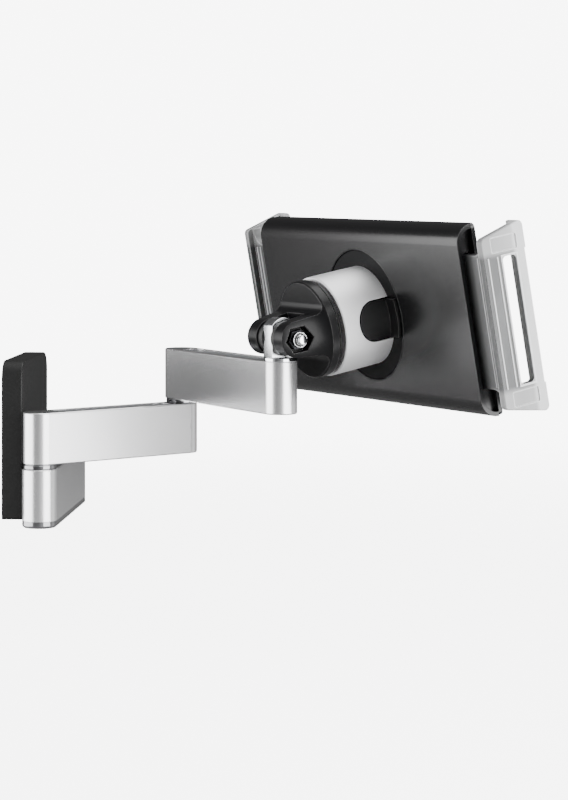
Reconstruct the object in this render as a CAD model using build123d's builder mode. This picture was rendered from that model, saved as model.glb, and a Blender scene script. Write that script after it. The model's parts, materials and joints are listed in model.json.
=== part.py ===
"""Wall mount for a tablet: a wall plate, two folding arms, a tilting head with a turning ring,
and a holder whose two grips slide apart together.

Frame: the origin lies on the wall, at the middle of the wall plate. X runs along the wall,
the mount reaches out towards -Y, and +Z is up. All sizes are in millimetres and degrees.
"""

import os
from math import acos, cos, pi, radians, sin, sqrt, tan

from build123d import *

os.makedirs("parts", exist_ok=True)

# Wall plate, its cover and the carrier between them
plate_width = 64.4
plate_height = 64.0
plate_thickness = 3.0
cover_depth = 8.5
cover_wall = 2.0
cover_top_radius = 7.5
cover_bottom_radius = 1.2
cover_edge_radius = 0.8
plate_clearance = 0.3
wall_hole_diameter = 5.2
wall_hole_side_edge = 6.9
wall_hole_end_edge = 7.7
carrier_width = 34.0
carrier_top = 14.8
rail_height = 2.4
lug_width = 10.0
lug_height = 4.2
lock_screw_radius = 1.5
lock_screw_length = 6.0
lock_head_radius = 2.8
lock_head_height = 1.6

# Block that stands in front of the cover and carries the first pivot
block_thickness = 14.1
block_height = 20.9
block_length = 78.8
cap_thickness = 2.8
cap_edge_radius = 1.2
cap_hole_radius = 5.4
block_screw_radius = 2.5
block_screw_distance = 20.0
block_screw_bite = 8.0
block_screw_head_radius = 4.5
cap_screw_radius = 2.0
cap_screw_length = 10.0

# Arms
arm_height = 20.9
arm_thickness = 13.4
arm_1_length = 71.6
arm_1_angle = -46.6
arm_2_length = 84.6
arm_2_angle = -146.3
channel_start = 7.0
channel_width = 7.4
channel_floor = 2.0
strip_width = 9.4
strip_thickness = 1.2
strip_recess = 0.5
strip_side_gap = 0.25
strip_entry_1 = 3.0
strip_entry_2 = 13.0
arm_edge_radius = 0.4

# Pivots: each pin is pressed into the piece above and turns in a bush in the piece below
joint_gap = 1.9
pin_radius = 3.0
pin_grip = 15.0
bush_wall = 1.5
bush_length = 15.9
pin_clearance = 0.05
pivot_screw_radius = 2.0
pivot_screw_bite = 9.0
pivot_head_radius = 4.4
pivot_head_height = 3.0
pivot_head_clearance = 0.3
pivot_play = 0.1
wall_washer_radius = 6.8
elbow_washer_radius = 6.2
washer_bore_clearance = 0.2
socket_across = 3.0
socket_depth = 1.8

# Head: the upright tongue on arm 2 and the clevis that tilts on it
head_pan = 35.0
head_tilt = 10.5
disc_radius = 6.7
disc_thickness = 1.5
tongue_thickness = 6.7
tongue_width = 11.4
tongue_top = 8.1
tongue_crown_radius = 6.6
ear_radius = 7.2
ear_clearance = 0.3
ear_gap = 13.0
slot_depth = 8.9
ear_tip_half_width = 13.2
ear_half_width = 15.2
neck_half_width = 16.4
ear_nose = 1.0
neck_reach = 6.0
neck_half_height = 8.3
scoop_radius = 3.6
flange_radius = 19.5
flange_back = 11.8
flange_front = 15.6
flange_edge_radius = 0.6
ring_rise = 0.5
tilt_bolt_radius = 2.0
tilt_bolt_clearance = 0.05
tilt_bolt_end = 16.0
tilt_head_radius = 3.8
tilt_head_height = 2.6
tilt_head_seat = 10.6
nut_pocket_across = 10.0
nut_pocket_seat = 10.6
nut_across = 7.0
nut_height = 3.0
nut_collar_radius = 3.2
nut_collar_height = 1.7
nut_collar_wall = 0.45
nut_insert_depth = 1.2
friction_washer_radius = 6.4
friction_washer_play = 0.02

# Turning ring between the head and the holder
groove_ring_radius = 19.0
groove_core_radius = 18.0
groove_core_side = 0.7
sleeve_radius = 20.0
sleeve_wall = 2.0
sleeve_back = 18.2
sleeve_web = 2.5
spindle_radius = 7.0
spindle_flange_radius = 10.0
spindle_flange_thickness = 2.0
spindle_screw_radius = 2.5
spindle_screw_length = 12.0
spindle_head_radius = 4.5
turning_clearance = 0.05
turning_play = 0.05

# Holder: a flat housing, open at its two ends
holder_back = 40.4
holder_front = 49.6
holder_width = 146.0
holder_height = 74.6
holder_wall = 1.8
front_thickness = 1.8
shell_edge_radius = 7.2
cover_corner = 2.0
port_radius = 26.2
port_gap = 0.3
port_recess = 0.3
port_flange_radius = 30.0
port_flange_thickness = 0.8
boss_outer_radius = 13.4
boss_inner_radius = 10.8
port_screw_radius = 0.8
port_screw_circle = 28.2
port_screw_count = 4
port_screw_head_radius = 1.4
port_screw_head_height = 0.4
port_screw_bite = 1.2
corner_post_inset = 2.5
corner_post_length = 9.0
seat_pad_length = 70.0
seat_pad_width = 6.0
seat_pad_thickness = 0.6
seat_pad_distance = 56.0
holder_screw_radius = 1.25
holder_screw_head_radius = 2.3
holder_screw_length = 6.0
guide_rib_width = 3.0
guide_rib_distance = 36.0
slide_clearance = 0.1

# Release buttons in the sides of the ring
button_half_width = 7.7
button_gap = 0.6
button_reach = 15.1
button_thickness = 1.9
button_travel = 1.5
foot_radius = 25.4
foot_thickness = 1.4
foot_clearance = 0.1
post_radius = 2.0
post_clearance = 0.05
spring_wire = 0.5
spring_radius = 3.1
spring_turns = 3
spring_wire_sides = 8
spring_gap = 0.1

# Grips, their racks and the pinion between them
tablet_width = 169.5
tablet_thickness = 7.5
grip_fit = 0.3
grip_wall = 3.0
grip_back = 41.0
grip_lip_thickness = 3.1
grip_lip_reach = 3.5
grip_back_half_height = 32.5
grip_front_half_height = 37.2
grip_corner_radius = 2.0
grip_edge_radius = 0.6
slide_back = 43.7
slide_thickness = 3.8
slide_half_height = 25.8
slide_inner_end = 52.0
slide_flare_length = 0.6
slide_flare_half_height = 32.6
slide_flare_radius = 6.5
window_back = 49.6
window_front = 55.9
window_half_height = 24.5
window_corner_radius = 1.8
rail_half_height = 26.0
rail_set_back = 0.8
inset_depth = 0.5
inset_back = 45.3
inset_front = 57.0
inset_inner = 26.7
inset_outer = 32.3
gear_module = 1.0
gear_teeth = 16
gear_backlash = 0.24
gear_thickness = 3.4
gear_bore_clearance = 0.05
gear_axle_radius = 2.5
gear_shoulder = 1.2
gear_play = 0.05
flank_steps = 3
pressure_angle = 20.0
rack_back_width = 4.0
rack_end = 22.0
rack_teeth_inside = 6
rack_teeth_outside = 5

# Heights of the stack, from the block upwards
block_bottom = -plate_height / 2
block_top = block_bottom + block_height
arm_1_bottom = block_top + joint_gap
arm_1_top = arm_1_bottom + arm_height
arm_2_bottom = arm_1_top + joint_gap
arm_2_top = arm_2_bottom + arm_height
disc_top = arm_2_top + disc_thickness
tilt_height = disc_top + ear_radius + ear_clearance

# Places of the three upright pivots, seen from above
wall_pivot = Vector(-plate_width / 2, -(cover_depth + block_thickness / 2), 0)
arm_1_direction = Vector(cos(radians(arm_1_angle)), sin(radians(arm_1_angle)), 0)
arm_2_direction = Vector(cos(radians(arm_2_angle)), sin(radians(arm_2_angle)), 0)
elbow = wall_pivot + arm_1_direction * arm_1_length
head_pivot = elbow + arm_2_direction * arm_2_length

# Frames of the head: its own -Y looks out of the tablet's screen, its -X is the photo's near side
swivel_frame = Location((head_pivot.X, head_pivot.Y, tilt_height), (0, 0, head_pan))
tilt_frame = swivel_frame * Location((0, 0, 0), (-head_tilt, 0, 0))
ring_frame = tilt_frame * Location((0, 0, ring_rise))
near_frame = ring_frame * Location((0, 0, 0), (0, 180, 0))
far_frame = ring_frame

# Side view of the head: first coordinate forwards along the ring's axis, second one upwards
side_view = Plane(origin=(0, 0, 0), x_dir=(0, -1, 0), z_dir=(-1, 0, 0))
outward_view = Plane(origin=(0, 0, 0), x_dir=(0, -1, 0), z_dir=(1, 0, 0))


def on(frame: Location, plane: Plane) -> Plane:
    """The given plane of a head frame, placed in the mount's frame."""
    return Plane(frame * plane.location)


def facing(frame: Location, distance: float) -> Plane:
    """A plane square to the ring's axis, the given distance forwards."""
    return on(frame, Plane.XZ.offset(distance))


def ring_axis() -> Axis:
    """The axis that the ring turns about."""
    plane = on(ring_frame, side_view)
    return Axis(plane.origin, plane.x_dir)


def write(part: Part, name: str) -> None:
    """Label a finished piece and write its file."""
    part.label = name
    export_step(part, f"parts/{name}.step")


def flat(point: Vector, height: float, direction: Vector = Vector(1, 0, 0)) -> Plane:
    """A level plane over a pivot, its X along the given direction."""
    return Plane(origin=(point.X, point.Y, height), x_dir=direction, z_dir=(0, 0, 1))


# Wall plate: a steel plate with a rail above the carrier and a lug for the locking screw
plate_inset = cover_wall + plate_clearance
plate_inner_width = plate_width - 2 * plate_inset
plate_inner_height = plate_height - 2 * plate_inset
wall_hole_across = plate_inner_width - 2 * wall_hole_side_edge
wall_hole_upright = plate_inner_height - 2 * wall_hole_end_edge
carrier_thickness = cover_depth - cover_wall - plate_thickness
wall_face = Plane.XZ
plate_front = Plane.XZ.offset(plate_thickness)
lug_bottom = -plate_inner_height / 2

with BuildPart() as wall_plate:
    with BuildSketch(wall_face):
        RectangleRounded(plate_inner_width, plate_inner_height, cover_top_radius - plate_inset)
        with GridLocations(wall_hole_across, wall_hole_upright, 2, 2):
            Circle(wall_hole_diameter / 2, mode=Mode.SUBTRACT)
    extrude(amount=plate_thickness)
    with BuildSketch(plate_front):
        with Locations((0, carrier_top + plate_clearance + rail_height / 2)):
            Rectangle(carrier_width, rail_height)
        with Locations((0, lug_bottom + lug_height / 2)):
            Rectangle(lug_width, lug_height)
    extrude(amount=carrier_thickness - plate_clearance)
    with BuildSketch(Plane.XY.offset(lug_bottom)):
        with Locations((0, -(plate_thickness + carrier_thickness / 2))):
            Circle(lock_screw_radius)
    extrude(amount=lock_screw_length - cover_wall - plate_clearance, mode=Mode.SUBTRACT)
write(wall_plate.part, "wall_plate")

# Carrier: screwed to the back of the block through the cover, it drops in under the rail
carrier_bottom = lug_bottom
carrier_height = carrier_top - carrier_bottom
block_middle = (block_bottom + block_top) / 2
screw_points = [(side * block_screw_distance / 2, block_middle) for side in (-1, 1)]
carrier_back = Plane.XZ.offset(plate_thickness)
countersink_depth = block_screw_head_radius - block_screw_radius

with BuildPart() as carrier_plate:
    with BuildSketch(carrier_back):
        with Locations((0, carrier_bottom + carrier_height / 2)):
            Rectangle(carrier_width, carrier_height)
        with Locations((0, carrier_bottom + (lug_height + plate_clearance) / 2)):
            Rectangle(lug_width + 2 * plate_clearance, lug_height + plate_clearance, mode=Mode.SUBTRACT)
        with Locations(screw_points):
            Circle(block_screw_radius, mode=Mode.SUBTRACT)
    extrude(amount=carrier_thickness)
    for point in screw_points:
        with BuildSketch(carrier_back):
            with Locations(point):
                Circle(block_screw_head_radius)
        with BuildSketch(carrier_back.offset(countersink_depth)):
            with Locations(point):
                Circle(block_screw_radius)
        loft(mode=Mode.SUBTRACT)
write(carrier_plate.part, "carrier_plate")

# Block screws: countersunk in the carrier, threaded into the block
block_screw_length = carrier_thickness + cover_wall + block_screw_bite

with BuildPart() as block_screws:
    for point in screw_points:
        with BuildSketch(carrier_back):
            with Locations(point):
                Circle(block_screw_head_radius)
        with BuildSketch(carrier_back.offset(countersink_depth)):
            with Locations(point):
                Circle(block_screw_radius)
        loft()
        with BuildSketch(carrier_back.offset(countersink_depth)):
            with Locations(point):
                Circle(block_screw_radius)
        extrude(amount=block_screw_length - countersink_depth)
        with BuildSketch(carrier_back):
            with Locations(point):
                RegularPolygon(socket_across / 2, 6, major_radius=False)
        extrude(amount=socket_depth, mode=Mode.SUBTRACT)
write(block_screws.part, "block_screws")

# Cover: a moulded shell, rounded at the top, that hides the plate and the carrier
lock_hole = (0, -(plate_thickness + carrier_thickness / 2))

with BuildPart() as wall_cover:
    with BuildSketch(wall_face) as cover_face:
        Rectangle(plate_width, plate_height)
        fillet(cover_face.vertices().group_by(Axis.Y)[-1], cover_top_radius)
        fillet(cover_face.vertices().group_by(Axis.Y)[0], cover_bottom_radius)
    extrude(amount=cover_depth)
    fillet(wall_cover.faces().sort_by(Axis.Y)[0].edges(), cover_edge_radius)
    with BuildSketch(wall_face) as cover_inside:
        Rectangle(plate_width - 2 * cover_wall, plate_height - 2 * cover_wall)
        fillet(cover_inside.vertices().group_by(Axis.Y)[-1], cover_top_radius - cover_wall)
    extrude(amount=cover_depth - cover_wall, mode=Mode.SUBTRACT)
    with BuildSketch(wall_face.offset(cover_depth - cover_wall)):
        with Locations(screw_points):
            Circle(block_screw_radius + plate_clearance)
    extrude(amount=cover_wall, mode=Mode.SUBTRACT)
    with BuildSketch(Plane.XY.offset(-plate_height / 2)):
        with Locations(lock_hole):
            Circle(lock_screw_radius + plate_clearance)
    extrude(amount=cover_wall, mode=Mode.SUBTRACT)
write(wall_cover.part, "wall_cover")

# Locking screw: from below through the cover into the plate's lug
with BuildPart() as locking_screw:
    with BuildSketch(Plane.XY.offset(-plate_height / 2)):
        with Locations(lock_hole):
            Circle(lock_screw_radius)
    extrude(amount=lock_screw_length)
    with BuildSketch(Plane.XY.offset(-plate_height / 2)):
        with Locations(lock_hole):
            Circle(lock_head_radius)
    extrude(amount=-lock_head_height)
    fillet(locking_screw.faces().sort_by(Axis.Z)[0].edges(), lock_head_height / 3)
    with BuildSketch(Plane.XY.offset(-plate_height / 2 - lock_head_height)):
        with Locations(lock_hole):
            RegularPolygon(lock_screw_radius, 6, major_radius=False)
    extrude(amount=lock_head_height * 0.7, mode=Mode.SUBTRACT)
write(locking_screw.part, "locking_screw")

# Block: an upright-ended bar along the cover, bored for the pivot at its near end
bush_radius = pin_radius + bush_wall
head_room = arm_height - bush_length
counterbore_radius = pivot_head_radius + pivot_head_clearance
block_far_end = wall_pivot + Vector(block_length, 0, 0)


def cut_pivot_socket(point: Vector, bottom: float) -> None:
    """Bore the piece in hand for a bush, with room for the pivot screw's head below."""
    from_below = (Align.CENTER, Align.CENTER, Align.MIN)
    with Locations(flat(point, bottom)):
        Cylinder(counterbore_radius, head_room, align=from_below, mode=Mode.SUBTRACT)
    with Locations(flat(point, bottom + head_room)):
        Cylinder(bush_radius, bush_length, align=from_below, mode=Mode.SUBTRACT)


def cut_pin_hole(point: Vector, bottom: float) -> None:
    """Bore the piece in hand from below for a pressed pin."""
    with Locations(flat(point, bottom)):
        Cylinder(pin_radius, pin_grip, align=(Align.CENTER, Align.CENTER, Align.MIN), mode=Mode.SUBTRACT)


with BuildPart() as wall_block:
    with BuildSketch(flat(wall_pivot, block_bottom)):
        with Locations((block_length / 2, 0)):
            SlotCenterToCenter(block_length, block_thickness)
    extrude(amount=block_height)
    chamfer(wall_block.edges().group_by(Axis.Z)[-1], arm_edge_radius)
    cut_pivot_socket(wall_pivot, block_bottom)
    with BuildSketch(flat(block_far_end, block_bottom)):
        Circle(cap_screw_radius)
    extrude(amount=cap_screw_length - cap_thickness / 2, mode=Mode.SUBTRACT)
    with BuildSketch(wall_face.offset(cover_depth)):
        with Locations(screw_points):
            Circle(block_screw_radius)
    extrude(amount=block_screw_bite, mode=Mode.SUBTRACT)
write(wall_block.part, "wall_block")

# Bright cap under the block, open below the pivot screw and the cap screw
with BuildPart() as block_end_cap:
    with BuildSketch(flat(wall_pivot, block_bottom)):
        with Locations((block_length / 2, 0)):
            SlotCenterToCenter(block_length, block_thickness)
    extrude(amount=-cap_thickness)
    fillet(block_end_cap.edges().group_by(Axis.Z)[0], cap_edge_radius)
    with BuildSketch(flat(wall_pivot, block_bottom)):
        Circle(cap_hole_radius)
    extrude(amount=-cap_thickness, mode=Mode.SUBTRACT)
    with BuildSketch(flat(block_far_end, block_bottom)):
        Circle(cap_screw_radius)
    extrude(amount=-cap_thickness, mode=Mode.SUBTRACT)
    with BuildSketch(flat(block_far_end, block_bottom - cap_thickness / 2)):
        Circle(cap_hole_radius)
    extrude(amount=-cap_thickness / 2, mode=Mode.SUBTRACT)
write(block_end_cap.part, "block_end_cap")

# Cap screw: a flat head, sunk in the cap at the block's far end
with BuildPart() as cap_screw:
    with BuildSketch(flat(block_far_end, block_bottom - cap_thickness / 2)):
        Circle(cap_hole_radius - plate_clearance)
    extrude(amount=-cap_thickness / 3)
    with BuildSketch(flat(block_far_end, block_bottom - cap_thickness / 2)):
        Circle(cap_screw_radius)
    extrude(amount=cap_screw_length)
    with BuildSketch(flat(block_far_end, block_bottom - cap_thickness)):
        RegularPolygon(socket_across / 2, 6, major_radius=False)
    extrude(amount=cap_thickness, mode=Mode.SUBTRACT)
write(cap_screw.part, "cap_screw")


def make_bush(point: Vector, bottom: float, name: str) -> None:
    """A plain bearing bush in a pivot socket."""
    with BuildPart() as bush:
        with BuildSketch(flat(point, bottom + head_room)):
            Circle(bush_radius)
            Circle(pin_radius + pin_clearance, mode=Mode.SUBTRACT)
        extrude(amount=bush_length)
    write(bush.part, name)


def make_washer(point: Vector, bottom: float, radius: float, name: str) -> None:
    """A washer that fills the gap between two arms."""
    with BuildPart() as washer:
        with BuildSketch(flat(point, bottom)):
            Circle(radius)
            Circle(pin_radius + washer_bore_clearance, mode=Mode.SUBTRACT)
        extrude(amount=joint_gap)
        chamfer(washer.edges().filter_by(GeomType.CIRCLE).sort_by(SortBy.RADIUS)[-2:], joint_gap / 5)
    write(washer.part, name)


def make_pin(point: Vector, socket_bottom: float, name: str) -> None:
    """A pivot pin, from the end of its screw up into the piece that it carries."""
    lower_end = socket_bottom + head_room - pivot_play
    upper_end = socket_bottom + arm_height + joint_gap + pin_grip
    with BuildPart() as pin:
        with BuildSketch(flat(point, lower_end)):
            Circle(pin_radius)
        extrude(amount=upper_end - lower_end)
        with BuildSketch(flat(point, lower_end)):
            Circle(pivot_screw_radius)
        extrude(amount=pivot_screw_bite, mode=Mode.SUBTRACT)
    write(pin.part, name)


def make_pivot_screw(point: Vector, socket_bottom: float, name: str) -> None:
    """The screw that holds a pin down, its head in the socket's counterbore."""
    seat = socket_bottom + head_room - pivot_play
    with BuildPart() as screw:
        with BuildSketch(flat(point, seat)):
            Circle(pivot_head_radius)
        extrude(amount=-pivot_head_height)
        chamfer(screw.edges().group_by(Axis.Z)[0], arm_edge_radius)
        with BuildSketch(flat(point, seat)):
            Circle(pivot_screw_radius)
        extrude(amount=pivot_screw_bite)
        with BuildSketch(flat(point, seat - pivot_head_height)):
            RegularPolygon(socket_across / 2, 6, major_radius=False)
        extrude(amount=socket_depth, mode=Mode.SUBTRACT)
    write(screw.part, name)


# First pivot, at the block's near end
make_bush(wall_pivot, block_bottom, "wall_pivot_bush")
make_washer(wall_pivot, block_top, wall_washer_radius, "wall_washer")
make_pin(wall_pivot, block_bottom, "wall_pivot_pin")
make_pivot_screw(wall_pivot, block_bottom, "wall_pivot_screw")

# Second pivot, the elbow
make_bush(elbow, arm_1_bottom, "elbow_bush")
make_washer(elbow, arm_1_top, elbow_washer_radius, "elbow_washer")
make_pin(elbow, arm_1_bottom, "elbow_pin")
make_pivot_screw(elbow, arm_1_bottom, "elbow_screw")

# Third pivot, under the head; its pin is part of the tongue
make_bush(head_pivot, arm_2_bottom, "head_bush")
make_pivot_screw(head_pivot, arm_2_bottom, "head_pivot_screw")


def make_arm(start: Vector, direction: Vector, length: float, bottom: float, name: str) -> None:
    """An arm: a bar with round ends, a cable channel along its top, and its two pivots."""
    with BuildPart() as arm:
        with BuildSketch(flat(start, bottom, direction)):
            with Locations((length / 2, 0)):
                SlotCenterToCenter(length, arm_thickness)
        extrude(amount=arm_height)
        chamfer(arm.edges().group_by(Axis.Z)[-1], arm_edge_radius)
        chamfer(arm.edges().group_by(Axis.Z)[0], arm_edge_radius)
        with BuildSketch(flat(start, bottom + arm_height, direction)):
            with Locations((length / 2, 0)):
                SlotOverall(length - 2 * channel_start, strip_width)
        extrude(amount=-(strip_recess + strip_thickness), mode=Mode.SUBTRACT)
        ledge = (strip_width - channel_width) / 2
        with BuildSketch(flat(start, bottom + channel_floor, direction)):
            with Locations((length / 2, 0)):
                SlotOverall(length - 2 * (channel_start + ledge), channel_width)
        extrude(amount=arm_height - channel_floor, mode=Mode.SUBTRACT)
        cut_pin_hole(start, bottom)
        cut_pivot_socket(start + direction * length, bottom)
    write(arm.part, name)


def make_strip(
    start: Vector, direction: Vector, length: float, bottom: float, entry: float, name: str
) -> None:
    """The strip that covers an arm's cable channel, cut short where the cable goes in."""
    inner_length = length - 2 * (channel_start + strip_side_gap)
    with BuildPart() as strip:
        top = bottom + arm_height - strip_recess
        with BuildSketch(flat(start, top, direction)):
            with Locations((length / 2, 0)):
                SlotOverall(inner_length, strip_width - 2 * strip_side_gap)
            with Locations((channel_start, 0)):
                Rectangle(2 * entry, strip_width, mode=Mode.SUBTRACT)
        extrude(amount=-strip_thickness)
    write(strip.part, name)


make_arm(wall_pivot, arm_1_direction, arm_1_length, arm_1_bottom, "arm_1")
make_strip(wall_pivot, arm_1_direction, arm_1_length, arm_1_bottom, strip_entry_1, "arm_1_strip")
make_arm(elbow, arm_2_direction, arm_2_length, arm_2_bottom, "arm_2")
make_strip(elbow, arm_2_direction, arm_2_length, arm_2_bottom, strip_entry_2, "arm_2_strip")

# Head tongue: a bright pin whose flat upper end stands between the clevis ears
head_pin_bottom = arm_2_bottom + head_room - pivot_play
tongue_side = on(swivel_frame, side_view)

with BuildPart() as head_tongue:
    with BuildSketch(flat(head_pivot, head_pin_bottom)):
        Circle(pin_radius)
    extrude(amount=arm_2_top - head_pin_bottom)
    with BuildSketch(flat(head_pivot, arm_2_top)):
        Circle(disc_radius)
    extrude(amount=disc_thickness)
    fillet(head_tongue.edges().group_by(Axis.Z)[-1], disc_thickness / 4)
    with BuildSketch(tongue_side):
        foot_drop = tilt_height - disc_top
        with Locations((0, (tongue_top - foot_drop) / 2)):
            Rectangle(tongue_width, tongue_top + foot_drop)
    extrude(amount=tongue_thickness / 2, both=True)
    with BuildSketch(tongue_side):
        with Locations((0, tongue_top - tongue_crown_radius)):
            Rectangle(2 * tongue_width, 2 * tongue_crown_radius, align=(Align.CENTER, Align.MIN))
            Circle(tongue_crown_radius, mode=Mode.SUBTRACT)
    extrude(amount=tongue_thickness / 2, both=True, mode=Mode.SUBTRACT)
    with BuildSketch(tongue_side):
        Circle(tilt_bolt_radius + tilt_bolt_clearance)
    extrude(amount=tongue_thickness / 2, both=True, mode=Mode.SUBTRACT)
    with BuildSketch(flat(head_pivot, head_pin_bottom)):
        Circle(pivot_screw_radius)
    extrude(amount=pivot_screw_bite, mode=Mode.SUBTRACT)
write(head_tongue.part, "head_tongue")

# Clevis head: a flared round body, scooped above and below down to two ears
clevis_side = on(tilt_frame, side_view)
ring_side = on(ring_frame, side_view)

with BuildPart() as clevis_head:
    with BuildSketch(ring_side):
        with BuildLine():
            Polyline(
                (-ear_radius - ear_nose, 0),
                (-ear_radius - ear_nose, ear_tip_half_width - ear_nose),
                (-ear_radius, ear_tip_half_width),
            )
            Spline(
                (-ear_radius, ear_tip_half_width),
                (0, ear_half_width),
                (neck_reach, neck_half_width),
                (flange_back, flange_radius - flange_edge_radius),
            )
            Polyline(
                (flange_back, flange_radius - flange_edge_radius),
                (flange_back + flange_edge_radius, flange_radius),
                (flange_front, flange_radius),
                (flange_front, 0),
                (-ear_radius - ear_nose, 0),
            )
        make_face()
    revolve(axis=ring_axis())
    with BuildSketch(clevis_side) as side_profile:
        Circle(ear_radius)
        with BuildLine():
            Polyline(
                (0, ear_radius),
                (flange_back, neck_half_height),
                (flange_back, -neck_half_height),
                (0, -ear_radius),
                (0, ear_radius),
            )
        make_face()
        with Locations(((flange_back + flange_front) / 2, 0)):
            Rectangle(flange_front - flange_back, 3 * flange_radius)
        inner_corners = side_profile.vertices().filter_by(
            lambda corner: abs(abs(corner.Y) - neck_half_height) < 0.01
        )
        fillet(inner_corners, scoop_radius)
    extrude(amount=2 * flange_radius, both=True, mode=Mode.INTERSECT)
    with BuildSketch(clevis_side):
        with Locations((slot_depth, 0)):
            Rectangle(4 * ear_radius, 2 * flange_radius, align=(Align.MAX, Align.CENTER))
    extrude(amount=ear_gap / 2, both=True, mode=Mode.SUBTRACT)
    with BuildSketch(clevis_side):
        Circle(tilt_bolt_radius)
    extrude(amount=2 * ear_half_width, both=True, mode=Mode.SUBTRACT)
    with BuildSketch(clevis_side.offset(nut_pocket_seat)):
        RegularPolygon(nut_pocket_across / 2, 6, major_radius=False)
    extrude(amount=ear_half_width, mode=Mode.SUBTRACT)
    with BuildSketch(clevis_side.offset(-tilt_head_seat)):
        Circle(tilt_head_radius + plate_clearance)
    extrude(amount=-ear_half_width, mode=Mode.SUBTRACT)
    with BuildSketch(facing(ring_frame, flange_front)):
        Circle(spindle_screw_radius)
    extrude(amount=-(flange_front - slot_depth), mode=Mode.SUBTRACT)
write(clevis_head.part, "clevis_head")

# Friction washers: on the ears' inner faces, close to the tongue
friction_washer_inside = tongue_thickness / 2 + friction_washer_play

with BuildPart() as friction_washers:
    for side in (-1, 1):
        with BuildSketch(clevis_side.offset(side * friction_washer_inside)):
            Circle(friction_washer_radius)
            Circle(tilt_bolt_radius, mode=Mode.SUBTRACT)
        extrude(amount=side * (ear_gap / 2 - friction_washer_inside))
write(friction_washers.part, "friction_washers")

# Tilt bolt: its head in the far ear, its end standing out of the near ear
with BuildPart() as tilt_bolt:
    with BuildSketch(clevis_side.offset(-tilt_head_seat)):
        Circle(tilt_bolt_radius)
    extrude(amount=tilt_head_seat + tilt_bolt_end)
    chamfer(tilt_bolt.edges().sort_by(Axis(clevis_side.origin, clevis_side.z_dir))[-1], tilt_bolt_radius / 4)
    with BuildSketch(clevis_side.offset(-tilt_head_seat)):
        Circle(tilt_head_radius)
    extrude(amount=-tilt_head_height)
    with BuildSketch(clevis_side.offset(-tilt_head_seat - tilt_head_height)):
        RegularPolygon(socket_across / 2, 6, major_radius=False)
    extrude(amount=socket_depth, mode=Mode.SUBTRACT)
write(tilt_bolt.part, "tilt_bolt")

# Locking nut with its round collar, in the near ear's six-sided pocket
with BuildPart() as tilt_nut:
    with BuildSketch(clevis_side.offset(nut_pocket_seat)):
        RegularPolygon(nut_across / 2, 6, major_radius=False)
    extrude(amount=nut_height)
    with BuildSketch(clevis_side.offset(nut_pocket_seat + nut_height)):
        Circle(nut_collar_radius)
    extrude(amount=nut_collar_height)
    fillet(tilt_nut.edges().filter_by(GeomType.CIRCLE).sort_by(SortBy.RADIUS)[-1], nut_collar_wall / 2)
    with BuildSketch(clevis_side.offset(nut_pocket_seat + nut_height + nut_collar_height)):
        Circle(nut_collar_radius - nut_collar_wall)
    extrude(amount=-nut_insert_depth, mode=Mode.SUBTRACT)
    with BuildSketch(clevis_side.offset(nut_pocket_seat)):
        Circle(tilt_bolt_radius)
    extrude(amount=nut_height + nut_collar_height, mode=Mode.SUBTRACT)
write(tilt_nut.part, "tilt_nut")

# Groove ring: a thin rim between two grooves, behind the turning sleeve
groove_bore = spindle_radius + turning_clearance

with BuildPart() as groove_ring:
    with BuildSketch(facing(ring_frame, flange_front)):
        Circle(groove_core_radius)
        Circle(groove_bore, mode=Mode.SUBTRACT)
    extrude(amount=sleeve_back - flange_front)
    with BuildSketch(facing(ring_frame, flange_front + groove_core_side)):
        Circle(groove_ring_radius)
        Circle(groove_bore, mode=Mode.SUBTRACT)
    extrude(amount=sleeve_back - flange_front - 2 * groove_core_side)
write(groove_ring.part, "groove_ring")

# Spindle: screwed to the clevis, it carries the sleeve's web
spindle_shaft = sleeve_back + sleeve_web + turning_play - flange_front
spindle_face = flange_front + spindle_shaft + spindle_flange_thickness

with BuildPart() as ring_spindle:
    with BuildSketch(facing(ring_frame, flange_front)):
        Circle(spindle_radius)
    extrude(amount=spindle_shaft)
    with BuildSketch(facing(ring_frame, flange_front + spindle_shaft)):
        Circle(spindle_flange_radius)
    extrude(amount=spindle_flange_thickness)
    with BuildSketch(facing(ring_frame, flange_front)):
        Circle(spindle_screw_radius)
    extrude(amount=spindle_face - flange_front, mode=Mode.SUBTRACT)
write(ring_spindle.part, "ring_spindle")

with BuildPart() as spindle_screw:
    with BuildSketch(facing(ring_frame, spindle_face)):
        Circle(spindle_head_radius)
    extrude(amount=spindle_head_radius - spindle_screw_radius)
    with BuildSketch(facing(ring_frame, spindle_face)):
        Circle(spindle_screw_radius)
    extrude(amount=-spindle_screw_length)
    with BuildSketch(facing(ring_frame, spindle_face + spindle_head_radius - spindle_screw_radius)):
        RegularPolygon(socket_across / 2, 6, major_radius=False)
    extrude(amount=-socket_depth, mode=Mode.SUBTRACT)
write(spindle_screw.part, "spindle_screw")

# Ring sleeve: a bright tube with a web at its back and a window in each side for a button
port_face = holder_back + port_recess
sleeve_length = port_face - sleeve_back
button_round = port_face - button_reach + button_half_width
button_opening = button_half_width + button_gap

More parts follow.
